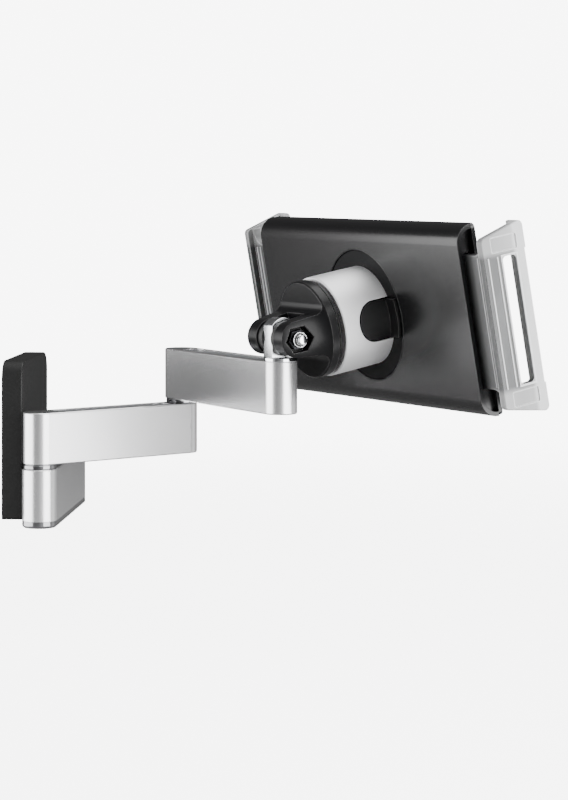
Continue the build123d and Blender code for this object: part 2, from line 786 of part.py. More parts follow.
with BuildPart() as ring_sleeve:
    with BuildSketch(facing(ring_frame, sleeve_back)):
        Circle(sleeve_radius)
    extrude(amount=sleeve_length)
    chamfer(
        ring_sleeve.edges().filter_by(GeomType.CIRCLE).sort_by(ring_axis())[0], arm_edge_radius
    )
    with BuildSketch(facing(ring_frame, sleeve_back + sleeve_web)):
        Circle(sleeve_radius - sleeve_wall)
    extrude(amount=sleeve_length, mode=Mode.SUBTRACT)
    with BuildSketch(facing(ring_frame, sleeve_back)):
        Circle(groove_bore)
    extrude(amount=sleeve_web, mode=Mode.SUBTRACT)
    for side in (-1, 1):
        with BuildSketch(ring_side.offset(side * boss_outer_radius)):
            with Locations((button_round, 0)):
                Circle(button_opening)
                Rectangle(button_reach, 2 * button_opening, align=(Align.MIN, Align.CENTER))
        extrude(amount=side * sleeve_radius, mode=Mode.SUBTRACT)
write(ring_sleeve.part, "ring_sleeve")

# Port ring: a dished disc in the holder's back, with a boss that stands inside the sleeve
post_middle = button_round
port_screw_points = [
    (port_screw_circle * cos(angle), port_screw_circle * sin(angle))
    for angle in (radians(45 + index * 360 / port_screw_count) for index in range(port_screw_count))
]

with BuildPart() as port_ring:
    with BuildSketch(facing(ring_frame, port_face)):
        Circle(port_radius)
        Circle(boss_inner_radius, mode=Mode.SUBTRACT)
    extrude(amount=holder_wall - port_recess)
    with BuildSketch(facing(ring_frame, holder_back + holder_wall)):
        Circle(port_flange_radius)
        Circle(boss_inner_radius, mode=Mode.SUBTRACT)
        with Locations(port_screw_points):
            Circle(port_screw_radius, mode=Mode.SUBTRACT)
    extrude(amount=port_flange_thickness)
    with BuildSketch(facing(ring_frame, sleeve_back + sleeve_web)):
        Circle(boss_outer_radius)
        Circle(boss_inner_radius, mode=Mode.SUBTRACT)
    extrude(amount=port_face - sleeve_back - sleeve_web)
    for side in (-1, 1):
        with BuildSketch(ring_side.offset(side * boss_inner_radius / 2)):
            with Locations((post_middle, 0)):
                Circle(post_radius + post_clearance)
        extrude(amount=side * boss_outer_radius, mode=Mode.SUBTRACT)
write(port_ring.part, "port_ring")

# Port screws: four small screws through the port ring's flange into the holder's back
with BuildPart() as port_screws:
    with BuildSketch(facing(ring_frame, holder_back + holder_wall + port_flange_thickness)):
        with Locations(port_screw_points):
            Circle(port_screw_head_radius)
    extrude(amount=port_screw_head_height)
    with BuildSketch(facing(ring_frame, holder_back + holder_wall + port_flange_thickness)):
        with Locations(port_screw_points):
            Circle(port_screw_radius)
    extrude(amount=-(port_flange_thickness + port_screw_bite))
write(port_screws.part, "port_screws")


def make_button(frame: Location, name: str) -> None:
    """A release button: a curved tab in the sleeve's side, its foot, and a guide post."""
    side = on(frame, outward_view)
    inner_face = sleeve_radius - button_thickness
    foot_face = port_face - foot_clearance
    post_end = boss_outer_radius - 2 * button_travel
    with BuildPart() as button:
        with BuildSketch(side.offset(boss_outer_radius)):
            with Locations((button_round, 0)):
                Circle(button_half_width)
                Rectangle(foot_face - button_round, 2 * button_half_width, align=(Align.MIN, Align.CENTER))
            with Locations((foot_face, 0)):
                Rectangle(
                    button_half_width,
                    2 * button_half_width,
                    align=(Align.MIN, Align.CENTER),
                    mode=Mode.SUBTRACT,
                )
        extrude(amount=sleeve_radius)
        with BuildSketch(facing(frame, button_round - 2 * button_half_width)):
            Circle(sleeve_radius)
            Circle(inner_face, mode=Mode.SUBTRACT)
        extrude(amount=4 * button_half_width, mode=Mode.INTERSECT)
        with BuildSketch(facing(frame, foot_face)):
            Circle(foot_radius)
            Circle(inner_face, mode=Mode.SUBTRACT)
            with Locations((foot_radius, 0)):
                Rectangle(2 * inner_face, 2 * button_half_width, mode=Mode.INTERSECT)
        extrude(amount=-foot_thickness)
        with BuildSketch(side.offset(post_end)):
            with Locations((post_middle, 0)):
                Circle(post_radius)
        extrude(amount=inner_face + button_thickness / 2 - post_end)
    write(button.part, name)


def make_spring(frame: Location, name: str) -> None:
    """The coil spring round a button's post, between the boss and the tab."""
    side = on(frame, outward_view)
    outer_reach = spring_radius + spring_wire / 2
    tab_inside = sqrt((sleeve_radius - button_thickness) ** 2 - outer_reach**2)
    height = tab_inside - boss_outer_radius - spring_wire - 2 * spring_gap
    base = side.origin + side.x_dir * post_middle
    base += side.z_dir * (boss_outer_radius + spring_gap + spring_wire / 2)
    with BuildPart() as spring:
        with BuildLine() as coil:
            Helix(height / spring_turns, height, spring_radius, center=base, direction=side.z_dir)
        with BuildSketch(Plane(origin=coil.line @ 0, z_dir=coil.line % 0)):
            RegularPolygon(spring_wire / 2, spring_wire_sides)
        sweep(path=coil.line, is_frenet=True)
    write(spring.part, name)


make_button(near_frame, "near_button")
make_button(far_frame, "far_button")
make_spring(near_frame, "near_button_spring")
make_spring(far_frame, "far_button_spring")

# Holder shell: a moulded channel with rounded long edges and a round opening for the port
cavity_back = holder_back + holder_wall
cavity_front = holder_front - front_thickness
holder_side = on(ring_frame, side_view)
post_inner = slide_half_height + plate_clearance
post_outer = holder_height / 2 - holder_wall
post_middle_x = holder_width / 2 - corner_post_inset - corner_post_length / 2
post_middle_z = (post_inner + post_outer) / 2
holder_corners = [(across * post_middle_x, up * post_middle_z) for across in (-1, 1) for up in (-1, 1)]
rib_points = [(across * post_middle_x, up * guide_rib_distance / 2) for across in (-1, 1) for up in (-1, 1)]

with BuildPart() as holder_shell:
    with BuildSketch(holder_side) as outer_section:
        with Locations(((holder_back + cavity_front) / 2, 0)):
            Rectangle(cavity_front - holder_back, holder_height)
        fillet(outer_section.vertices().group_by(Axis.X)[0], shell_edge_radius)
    extrude(amount=holder_width / 2, both=True)
    with BuildSketch(holder_side) as inner_section:
        with Locations(((cavity_back + cavity_front) / 2, 0)):
            Rectangle(cavity_front - cavity_back, holder_height - 2 * holder_wall)
        fillet(inner_section.vertices().group_by(Axis.X)[0], shell_edge_radius - holder_wall)
    extrude(amount=holder_width / 2, both=True, mode=Mode.SUBTRACT)
    with BuildSketch(facing(ring_frame, cavity_back)):
        with Locations(holder_corners):
            Rectangle(corner_post_length, post_outer - post_inner)
    extrude(amount=cavity_front - cavity_back)
    with BuildSketch(facing(ring_frame, cavity_back)):
        with Locations(rib_points):
            Rectangle(corner_post_length, guide_rib_width)
    extrude(amount=slide_back - cavity_back - slide_clearance)
    with BuildSketch(facing(ring_frame, holder_back)):
        Circle(port_radius + port_gap)
    extrude(amount=holder_wall, mode=Mode.SUBTRACT)
    with BuildSketch(facing(ring_frame, cavity_front)):
        with Locations(holder_corners):
            Circle(holder_screw_radius)
    extrude(amount=-(holder_screw_length - front_thickness), mode=Mode.SUBTRACT)
    with BuildSketch(facing(ring_frame, cavity_back)):
        with Locations(port_screw_points):
            Circle(port_screw_radius)
    extrude(amount=-port_screw_bite, mode=Mode.SUBTRACT)
write(holder_shell.part, "holder_shell")

# Holder front: the flat cover behind the tablet, with the pinion's axle on its back
pinion_back = slide_back + slide_clearance
pinion_front = pinion_back + gear_thickness
countersink = holder_screw_head_radius - holder_screw_radius

with BuildPart() as holder_cover:
    with BuildSketch(facing(ring_frame, cavity_front)):
        Rectangle(holder_width, holder_height)
    extrude(amount=front_thickness)
    fillet(holder_cover.edges().filter_by(ring_axis()), cover_corner)
    with BuildSketch(facing(ring_frame, cavity_front)):
        Circle(gear_axle_radius + gear_shoulder)
    extrude(amount=pinion_front + gear_play - cavity_front)
    with BuildSketch(facing(ring_frame, cavity_front)):
        Circle(gear_axle_radius)
    extrude(amount=pinion_back - cavity_front)
    with BuildSketch(facing(ring_frame, cavity_front)):
        with Locations(holder_corners):
            Circle(holder_screw_radius)
    extrude(amount=front_thickness, mode=Mode.SUBTRACT)
    for corner in holder_corners:
        with BuildSketch(facing(ring_frame, holder_front - countersink)):
            with Locations(corner):
                Circle(holder_screw_radius)
        with BuildSketch(facing(ring_frame, holder_front)):
            with Locations(corner):
                Circle(holder_screw_head_radius)
        loft(mode=Mode.SUBTRACT)
write(holder_cover.part, "holder_cover")

# Holder screws: four flat heads, flush with the cover
with BuildPart() as holder_screws:
    for corner in holder_corners:
        with BuildSketch(facing(ring_frame, holder_front - countersink)):
            with Locations(corner):
                Circle(holder_screw_radius)
        with BuildSketch(facing(ring_frame, holder_front)):
            with Locations(corner):
                Circle(holder_screw_head_radius)
        loft()
        with BuildSketch(facing(ring_frame, holder_front - countersink)):
            with Locations(corner):
                Circle(holder_screw_radius)
        extrude(amount=countersink - holder_screw_length)
write(holder_screws.part, "holder_screws")

# Seat pads: two soft strips that the tablet leans on
with BuildPart() as seat_pads:
    with BuildSketch(facing(ring_frame, holder_front)):
        with GridLocations(1, seat_pad_distance, 1, 2):
            RectangleRounded(seat_pad_length, seat_pad_width, seat_pad_width / 4)
    extrude(amount=seat_pad_thickness)
write(seat_pads.part, "seat_pads")

# Pinion: it keeps the two grips' racks in step
pitch_radius = gear_module * gear_teeth / 2
base_radius = pitch_radius * cos(radians(pressure_angle))
tip_radius = pitch_radius + gear_module
root_radius = pitch_radius - 1.25 * gear_module
tooth_pitch = pi * gear_module
tooth_width = tooth_pitch / 2 - gear_backlash / 2


def involute(angle: float) -> float:
    """The involute function of an angle in radians."""
    return tan(angle) - angle


def tooth_half_angle(radius: float) -> float:
    """Half the angle that a pinion tooth fills at the given radius."""
    flank = involute(radians(pressure_angle)) - involute(acos(base_radius / max(radius, base_radius)))
    return tooth_width / (2 * pitch_radius) + flank


def pinion_outline() -> list:
    """The corners of the pinion, tooth by tooth; one tooth points straight down."""
    flank_radii = [root_radius] + [
        base_radius + (tip_radius - base_radius) * step / flank_steps for step in range(flank_steps + 1)
    ]
    corners = []
    for tooth in range(gear_teeth):
        middle = radians(-90 + tooth * 360 / gear_teeth)
        rising = [(radius, middle - tooth_half_angle(radius)) for radius in flank_radii]
        falling = [(radius, middle + tooth_half_angle(radius)) for radius in reversed(flank_radii)]
        corners += [(radius * cos(angle), radius * sin(angle)) for radius, angle in rising + falling]
    return corners


with BuildPart() as pinion:
    with BuildSketch(facing(ring_frame, pinion_back)):
        Polygon(*pinion_outline(), align=None)
        Circle(gear_axle_radius + gear_bore_clearance, mode=Mode.SUBTRACT)
    extrude(amount=gear_thickness)
write(pinion.part, "pinion")

# Grips: a slide with its rack, and a wall with a lip round the tablet's edge
seat_face = holder_front + seat_pad_thickness
lip_back = seat_face + tablet_thickness + grip_fit
grip_front = lip_back + grip_lip_thickness
grip_inner = tablet_width / 2 + grip_fit
rack_addendum = 0.9 * gear_module
rack_dedendum = 1.25 * gear_module
tip_slope = tan(radians(pressure_angle))
rack_reach = slide_inner_end + rack_end
rack_teeth = [(index + 0.5) * tooth_pitch for index in range(-rack_teeth_inside, rack_teeth_outside)]


def make_grip(frame: Location, name: str) -> None:
    """A grip, moulded in one piece."""
    wall_plane = on(frame, outward_view).offset(grip_inner)
    with BuildPart() as grip:
        with BuildSketch(wall_plane.offset(-grip_lip_reach)) as wall_outline:
            with BuildLine():
                Polyline(
                    (grip_back, -grip_back_half_height),
                    (grip_back, grip_back_half_height),
                    (grip_front, grip_front_half_height),
                    (grip_front, -grip_front_half_height),
                    close=True,
                )
            make_face()
            fillet(wall_outline.vertices(), grip_corner_radius)
        extrude(amount=grip_lip_reach + grip_wall)
        outer_face = grip.faces().sort_by(Axis(wall_plane.origin, wall_plane.z_dir))[-1]
        fillet(outer_face.edges(), grip_edge_radius)
        with BuildSketch(wall_plane):
            Rectangle(lip_back, 3 * grip_front_half_height, align=(Align.MIN, Align.CENTER))
        extrude(amount=-grip_lip_reach, mode=Mode.SUBTRACT)
        with BuildSketch(wall_plane.offset(-grip_lip_reach)):
            with Locations((grip_front - rail_set_back, 0)):
                Rectangle(grip_lip_thickness, 2 * rail_half_height, align=(Align.MIN, Align.CENTER))
        extrude(amount=grip_lip_reach + grip_wall, mode=Mode.SUBTRACT)
        with BuildSketch(facing(frame, slide_back)) as slide_outline:
            with Locations((slide_inner_end, 0)):
                Rectangle(grip_inner - slide_inner_end, 2 * slide_half_height, align=(Align.MIN, Align.CENTER))
            with Locations((grip_inner, 0)):
                Rectangle(slide_flare_length, 2 * slide_flare_half_height, align=(Align.MAX, Align.CENTER))
            flare_corners = slide_outline.vertices().filter_by(
                lambda corner: abs(corner.X - grip_inner + slide_flare_length) < 0.01
                and abs(abs(corner.Y) - slide_half_height) < 0.01
            )
            fillet(flare_corners, slide_flare_radius)
            with Locations((slide_inner_end, -(pitch_radius + rack_dedendum))):
                Rectangle(rack_reach, rack_back_width, align=(Align.MAX, Align.MAX))
        extrude(amount=slide_thickness)
        with BuildSketch(facing(frame, pinion_back)):
            for middle in rack_teeth:
                root = tooth_width / 2 + rack_dedendum * tip_slope
                tip = tooth_width / 2 - rack_addendum * tip_slope
                Polygon(
                    (middle - root, -(pitch_radius + rack_dedendum)),
                    (middle + root, -(pitch_radius + rack_dedendum)),
                    (middle + tip, -(pitch_radius - rack_addendum)),
                    (middle - tip, -(pitch_radius - rack_addendum)),
                    align=None,
                )
        extrude(amount=gear_thickness)
        with BuildSketch(wall_plane):
            with Locations(((window_back + window_front) / 2, 0)):
                RectangleRounded(window_front - window_back, 2 * window_half_height, window_corner_radius)
        extrude(amount=grip_wall, mode=Mode.SUBTRACT)
        with BuildSketch(wall_plane.offset(grip_wall - inset_depth)):
            for side in (-1, 1):
                with Locations(((inset_back + inset_front) / 2, side * (inset_inner + inset_outer) / 2)):
                    RectangleRounded(inset_front - inset_back, inset_outer - inset_inner, inset_depth)
        extrude(amount=inset_depth, mode=Mode.SUBTRACT)
    write(grip.part, name)


make_grip(near_frame, "near_grip")
make_grip(far_frame, "far_grip")
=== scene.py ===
"""A tablet wall mount, dressed for a studio picture.

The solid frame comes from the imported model: a wall foot, two folding arms, a tilting head,
a turning ring and a flat holder with two frosted grips. This script gives each piece its
finish, adds the small turned and moulded details, and sets up the studio.

Sizes are in metres. The origin lies on the wall, X runs along it, the mount reaches out
towards -Y, and +Z is up.
"""

import json
import logging
import math
from contextlib import contextmanager
from dataclasses import dataclass
from enum import Enum
from typing import Callable, Iterator, Optional, Sequence, Union

import bmesh
import bpy
from mathutils import Matrix, Vector


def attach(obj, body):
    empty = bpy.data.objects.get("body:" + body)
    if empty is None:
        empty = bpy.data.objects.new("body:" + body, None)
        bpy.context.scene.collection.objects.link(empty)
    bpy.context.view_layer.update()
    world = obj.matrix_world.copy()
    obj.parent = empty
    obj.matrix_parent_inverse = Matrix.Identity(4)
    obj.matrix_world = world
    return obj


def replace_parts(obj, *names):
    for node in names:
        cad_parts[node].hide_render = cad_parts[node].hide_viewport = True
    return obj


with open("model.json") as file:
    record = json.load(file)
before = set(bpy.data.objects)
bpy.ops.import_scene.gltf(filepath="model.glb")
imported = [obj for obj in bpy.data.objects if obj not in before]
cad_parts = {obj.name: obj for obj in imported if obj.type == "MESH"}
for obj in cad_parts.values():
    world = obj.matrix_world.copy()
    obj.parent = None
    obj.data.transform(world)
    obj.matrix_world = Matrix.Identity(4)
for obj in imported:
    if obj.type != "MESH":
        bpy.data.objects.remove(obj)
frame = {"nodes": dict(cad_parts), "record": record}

logging.basicConfig(level=logging.INFO, format="%(levelname)s %(message)s")
log = logging.getLogger("tablet_mount")

Number = Union[int, float]
Colour = tuple[float, float, float]
Triple = tuple[float, float, float]

MM = 0.001
NEAR = 0.001 * MM
SMOOTH_BELOW = math.radians(32)
UPWARD = Vector((0, 0, 1))


# Shader maths


class Term:
    """A value in a material, which joins others with the usual arithmetic signs."""

    def __init__(self, graph: "Graph", socket: bpy.types.NodeSocket) -> None:
        """Wrap a socket.

        Args:
            graph: The graph that the socket belongs to.
            socket: The output socket.
        """
        self.graph = graph
        self.socket = socket

    def _join(self, operation: str, first: object, second: object = None) -> "Term":
        """Add one Math node.

        Args:
            operation: The node's operation.
            first: Its first value.
            second: Its second value, where it has one.

        Returns:
            The node's output.
        """
        values = [first] if second is None else [first, second]
        return self.graph.node("ShaderNodeMath", {"operation": operation}, dict(enumerate(values)))

    def __add__(self, other: object) -> "Term":
        """self + other."""
        return self._join("ADD", self, other)

    def __radd__(self, other: object) -> "Term":
        """other + self."""
        return self._join("ADD", other, self)

    def __sub__(self, other: object) -> "Term":
        """self - other."""
        return self._join("SUBTRACT", self, other)

    def __rsub__(self, other: object) -> "Term":
        """other - self."""
        return self._join("SUBTRACT", other, self)

    def __mul__(self, other: object) -> "Term":
        """self * other."""
        return self._join("MULTIPLY", self, other)

    def __rmul__(self, other: object) -> "Term":
        """other * self."""
        return self._join("MULTIPLY", other, self)

    def __truediv__(self, other: object) -> "Term":
        """self / other."""
        return self._join("DIVIDE", self, other)

    def __rtruediv__(self, other: object) -> "Term":
        """other / self."""
        return self._join("DIVIDE", other, self)

    def __neg__(self) -> "Term":
        """-self."""
        return self._join("MULTIPLY", self, -1.0)

    def size(self) -> "Term":
        """The value without its sign."""
        return self._join("ABSOLUTE", self)

    def ramp(self, low: Number, high: Number, start: Number = 0.0, end: Number = 1.0) -> "Term":
        """Turn a stretch of the value smoothly into another stretch.

        Args:
            low: The value that becomes start.
            high: The value that becomes end.
            start: The result at low and beyond.
            end: The result at high and beyond.

        Returns:
            The new value.
        """
        settings = {"interpolation_type": "SMOOTHSTEP"}
        values = {"Value": self, "From Min": low, "From Max": high, "To Min": start, "To Max": end}
        return self.graph.node("ShaderNodeMapRange", settings, values)


class Graph:
    """The nodes of one material or of the surroundings."""

    def __init__(self, owner: Union[bpy.types.Material, bpy.types.World]) -> None:
        """Start with no nodes.

        Args:
            owner: The new material or world that the nodes belong to.
        """
        self.owner = owner
        self.owner.use_nodes = True
        self.tree = self.owner.node_tree
        self.tree.nodes.clear()

    @property
    def end_kind(self) -> str:
        """The type of the node that everything ends in."""
        world = isinstance(self.owner, bpy.types.World)
        return "ShaderNodeOutputWorld" if world else "ShaderNodeOutputMaterial"

    @classmethod
    def material(cls, name: str) -> "Graph":
        """The nodes of a new material with this name."""
        return cls(bpy.data.materials.new(name))

    def node(
        self,
        kind: str,
        settings: Optional[dict[str, object]] = None,
        values: Optional[dict[Union[int, str], object]] = None,
        output: Union[int, str] = 0,
    ) -> Term:
        """Add a node, set it up, and give or link its values.

        Args:
            kind: The node's type.
            settings: Its own settings; a ramp's stops go under "stops".
            values: What its inputs hold, by name or place.
            output: The output to hand back.

        Returns:
            The chosen output.
        """
        made = self.tree.nodes.new(kind)
        for key, value in (settings or {}).items():
            if key == "stops":
                made.color_ramp.interpolation = "EASE"
                self._set_stops(made, value)
            else:
                setattr(made, key, value)
        for key, value in (values or {}).items():
            if isinstance(value, Term):
                self.tree.links.new(value.socket, made.inputs[key])
            else:
                made.inputs[key].default_value = value
        return Term(self, made.outputs[output])

    @staticmethod
    def _set_stops(made: bpy.types.Node, stops: Sequence[tuple[float, Colour]]) -> None:
        """Fill a colour ramp.

        Args:
            made: The ramp's node.
            stops: Each stop's place and colour, in order.
        """
        elements = made.color_ramp.elements
        while len(elements) < len(stops):
            elements.new(1.0)
        for element, (place, colour) in zip(elements, stops):
            element.position = place
            element.color = (*colour, 1.0)

    def place(self, stretch: Triple = (1, 1, 1)) -> Term:
        """The point on the surface, in the mount's own frame.

        Args:
            stretch: How much finer a pattern is along each axis.

        Returns:
            The point.
        """
        point = self.node("ShaderNodeTexCoord", output="Object")
        return self.node(
            "ShaderNodeMapping",
            {"vector_type": "POINT"},
            {"Vector": point, "Scale": stretch},
        )

    def noise(self, point: Term, per_metre: float, detail: float = 2.0, rough: float = 0.5) -> Term:
        """Soft random variation between 0 and 1.

        Args:
            point: Where it is read.
            per_metre: How many patches lie along a metre.
            detail: How many finer layers it has.
            rough: How strong the finer layers are.

        Returns:
            The variation.
        """
        values = {"Vector": point, "Scale": per_metre, "Detail": detail, "Roughness": rough}
        return self.node("ShaderNodeTexNoise", {"noise_dimensions": "3D"}, values)

    def blend(self, factor: object, first: object, second: object) -> Term:
        """Mix two colours.

        Args:
            factor: 0 for the first colour, 1 for the second.
            first: A colour, or a link to one.
            second: A colour, or a link to one.

        Returns:
            The mixed colour.
        """
        made = self.tree.nodes.new("ShaderNodeMix")
        made.data_type = "RGBA"
        ports = {"Factor": factor, "A": first, "B": second}
        for label, value in ports.items():
            kind = "VALUE" if label == "Factor" else "RGBA"
            port = next(s for s in made.inputs if s.name == label and s.type == kind)
            if isinstance(value, Term):
                self.tree.links.new(value.socket, port)
            else:
                port.default_value = value if label == "Factor" else (*value, 1.0)
        return Term(self, next(s for s in made.outputs if s.type == "RGBA"))

    def relief(self, height: Term, depth: float, strength: float, under: Optional[Term] = None) -> Term:
        """Turn a height into a surface normal.

        Args:
            height: The height, from 0 to 1.
            depth: How deep it is, in metres.
            strength: How much of it shows.
            under: A normal that it lies on.

        Returns:
            The normal.
        """
        values: dict[Union[int, str], object] = {"Height": height, "Distance": depth, "Strength": strength}
        if under is not None:
            values["Normal"] = under
        return self.node("ShaderNodeBump", None, values)

    def soft_edges(self, radius: float) -> Term:
        """A normal that turns smoothly over each edge.

        Args:
            radius: How far the turn reaches, in metres.

        Returns:
            The normal.
        """
        return self.node("ShaderNodeBevel", {"samples": 6}, {"Radius": radius})

    def dot(self, first: object, second: object) -> Term:
        """How far two directions agree, or how far a point lies along one."""
        settings = {"operation": "DOT_PRODUCT"}
        return self.node("ShaderNodeVectorMath", settings, {0: first, 1: second}, "Value")

    def along(self, point: Term, centre: Vector, way: Vector) -> Term:
        """How far a point lies from a centre in one direction, in metres."""
        return self.dot(point, way) - centre.dot(way)

    def edge_light(self, radius: float, start: float = 0.80, end: float = 0.985) -> Term:
        """1 along sharp outer edges and 0 on flat faces.

        Args:
            radius: How far the edge reaches, in metres.
            start: The turn of the normal at which the edge is fully light.
            end: The turn at which it begins.

        Returns:
            The share of edge.
        """
        rounded = self.soft_edges(radius)
        flat = self.node("ShaderNodeNewGeometry", output="Normal")
        return self.dot(rounded, flat).ramp(start, end, 1.0, 0.0)

    def finish(self, values: dict[str, object]) -> bpy.types.Material:
        """Close the material with its surface shader.

        Args:
            values: What the shader's inputs hold, by name.

        Returns:
            The material.
        """
        return self.close(self.node("ShaderNodeBsdfPrincipled", None, values))

    def close(self, surface: Term) -> bpy.types.Material:
        """Join a shader to the material's end.

        Args:
            surface: The shader.

        Returns:
            The material.
        """
        end = self.tree.nodes.new(self.end_kind)
        self.tree.links.new(surface.socket, end.inputs["Surface"])
        return self.owner


# Places and shaping


def joint_line(name: str) -> tuple[Vector, Vector]:
    """A point on a joint's axis and the axis's direction, at rest.

    Args:
        name: The joint's name.

    Returns:
        The point and the direction.
    """
    joint = next(j for j in frame["record"]["behaviour"]["joints"] if j["name"] == name)
    return Vector(joint["pos_m"]), Vector(joint["axis"]).normalized()


@dataclass(frozen=True)
class Place:
    """Where a piece is modelled: an origin and the directions of its first two axes."""

    origin: Vector
    x: Vector
    y: Vector

    @property
    def matrix(self) -> Matrix:
        """The turn and shift from this place to the mount's frame."""
        turn = Matrix((self.x, self.y, self.x.cross(self.y))).transposed().to_4x4()
        return Matrix.Translation(self.origin) @ turn

    def turned_over(self) -> "Place":
        """The same place, turned half round about its third axis."""
        return Place(self.origin, -self.x, -self.y)

    def moved(self, shift: Triple) -> "Place":
        """The same place, shifted along its own axes."""
        return Place(self.matrix @ Vector(shift), self.x, self.y)


class Kind(Enum):
    """What is selected in edit mode."""

    EDGES = "EDGE"
    FACES = "FACE"


Test = Callable[[Vector], bool]


@contextmanager
def editing() -> Iterator[None]:
    """Edit mode, with all of the piece selected, for as long as the block lasts."""
    bpy.ops.object.mode_set(mode="EDIT")
    bpy.ops.mesh.select_all(action="SELECT")
    yield
    bpy.ops.object.mode_set(mode="OBJECT")


class Bench:
    """Shapes one new piece with the editing tools, in a place of its own."""

    def __init__(self, name: str, place: Place) -> None:
        """Take the primitive or the copy that was made last.

        Args:
            name: The piece's name.
            place: The place that it is modelled in.
        """
        self.piece = bpy.context.object
        self.piece.name = name
        self.piece.data.name = name
        self.place = place
        self.take()
        bpy.ops.object.transform_apply(location=True, rotation=True, scale=True)

    @classmethod
    def rod(cls, name: str, place: Place, radius: float, low: float, high: float, sides: int = 64) -> "Bench":
        """Start with a cylinder about the place's third axis.

        Args:
            name: The piece's name.
            place: The place that it is modelled in.
            radius: Its radius.
            low: Where it begins on the axis.
            high: Where it ends.
            sides: How many sides it has.

        Returns:
            The bench with the cylinder.
        """
        bpy.ops.mesh.primitive_cylinder_add(
            vertices=sides, radius=radius, depth=high - low, location=(0, 0, (low + high) / 2)
        )
        return cls(name, place)

    @classmethod
    def bar(cls, name: str, place: Place, size: Triple) -> "Bench":
        """Start with a block round the place's origin.

        Args:
            name: The piece's name.
            place: The place that it is modelled in.
            size: Its size along the place's axes.

        Returns:
            The bench with the block.
        """
        bpy.ops.mesh.primitive_cube_add(size=1, scale=size)
        return cls(name, place)

    def choose(self, kind: Kind, test: Test) -> None:
        """Select the edges or faces whose points all pass a test.

        Args:
            kind: Edges or faces.
            test: Takes a point in the piece's place and says whether it counts.
        """
        bpy.ops.mesh.select_mode(type=kind.value)
        bpy.ops.mesh.select_all(action="DESELECT")
        mesh = bmesh.from_edit_mesh(self.piece.data)
        for element in mesh.edges if kind is Kind.EDGES else mesh.faces:
            element.select_set(all(test(vertex.co) for vertex in element.verts))
        bmesh.update_edit_mesh(self.piece.data)

    def soften(self, test: Test, radius: float, steps: int = 4) -> "Bench":
        """Round some edges.

        Args:
            test: Says which points belong to the edges.
            radius: How far the rounding reaches.
            steps: How many faces it has across.

        Returns:
            The bench.
        """
        with editing():
            self.choose(Kind.EDGES, test)
            bpy.ops.mesh.bevel(offset=radius, segments=steps, affect="EDGES", clamp_overlap=True)
        return self

    def sink(self, test: Test, rim: float, depth: float) -> "Bench":
        """Leave a rim round some faces, and sink what is inside it.

        Args:
            test: Says which points belong to the faces.
            rim: How wide the rim is.
            depth: How deep the inside goes.

        Returns:
            The bench.
        """
        with editing():
            self.choose(Kind.FACES, test)
            bpy.ops.mesh.inset(thickness=rim)
            bpy.ops.mesh.extrude_region_move(TRANSFORM_OT_translate={"value": (0, 0, -depth)})
        return self

    def groove(self, low: float, high: float, pitch: float, depth: float) -> "Bench":
        """Turn fine grooves into a rod.

        Args:
            low: The height of the first cut.
            high: The height that no cut passes.
            pitch: From one groove to the next.
            depth: How deep each groove is.

        Returns:
            The bench.
        """
        with editing():
            for step in range(int((high - low) / (pitch / 2)) + 1):
                bpy.ops.mesh.select_all(action="SELECT")
                height = low + step * pitch / 2
                bpy.ops.mesh.bisect(plane_co=(0, 0, height), plane_no=(0, 0, 1))
                if step % 2:
                    radius = max(v.co.xy.length for v in bmesh.from_edit_mesh(self.piece.data).verts)
                    factor = 1 - depth / radius
                    self.choose(Kind.EDGES, lambda point: abs(point.z - height) < NEAR)
                    bpy.ops.transform.resize(value=(factor, factor, 1), center_override=(0, 0, height))
        return self

    def trim(self, point: Triple, outward: Triple) -> "Bench":
        """Cut off what lies beyond a plane and close the cut.

        Args:
            point: A point on the plane.
            outward: The direction in which the rest is cut off.

        Returns:
            The bench.
        """
        with editing():
            bpy.ops.mesh.bisect(plane_co=point, plane_no=outward, clear_outer=True, use_fill=True)
        return self

    def stretch_end(self, test: Test, shift: Triple) -> "Bench":
        """Draw some faces out.

        Args:
            test: Says which points belong to the faces.
            shift: How far they go.

        Returns:
            The bench.
        """
        with editing():
            self.choose(Kind.FACES, test)
            bpy.ops.mesh.extrude_region_move(TRANSFORM_OT_translate={"value": shift})
        return self

    def hollow(self, outside: float, rim: float, opening: Test) -> "Bench":
        """Open a block right through along its first axis, and leave a frame.

        Args:
            outside: How far its two outer faces lie from the middle.
            rim: How wide the frame is.
            opening: Says which points lie on the opening.

        Returns:
            The bench.
        """
        with editing():
            for level in (outside, -outside):
                self.choose(Kind.FACES, lambda p: abs(p.x - level) < NEAR)
                bpy.ops.mesh.inset(thickness=rim)
                bpy.ops.mesh.delete(type="FACE")
            self.choose(Kind.EDGES, opening)
            bpy.ops.mesh.bridge_edge_loops()
        return self

    def take(self) -> None:
        """Select this piece alone."""
        bpy.ops.object.select_all(action="DESELECT")
        self.piece.select_set(True)
        bpy.context.view_layer.objects.active = self.piece

    def repeat(self, name: str, place: Place) -> "Bench":
        """Copy the piece, with a mesh of its own.

        Args:
            name: The copy's name.
            place: The copy's place.

        Returns:
            A bench with the copy.
        """
        twin = self.piece.copy()
        twin.data = self.piece.data.copy()
        bpy.context.scene.collection.objects.link(twin)
        bpy.context.view_layer.objects.active = twin
        return Bench(name, place)

    def put_away(self) -> None:
        """Remove a pattern once its copies are made."""
        bpy.data.objects.remove(self.piece)

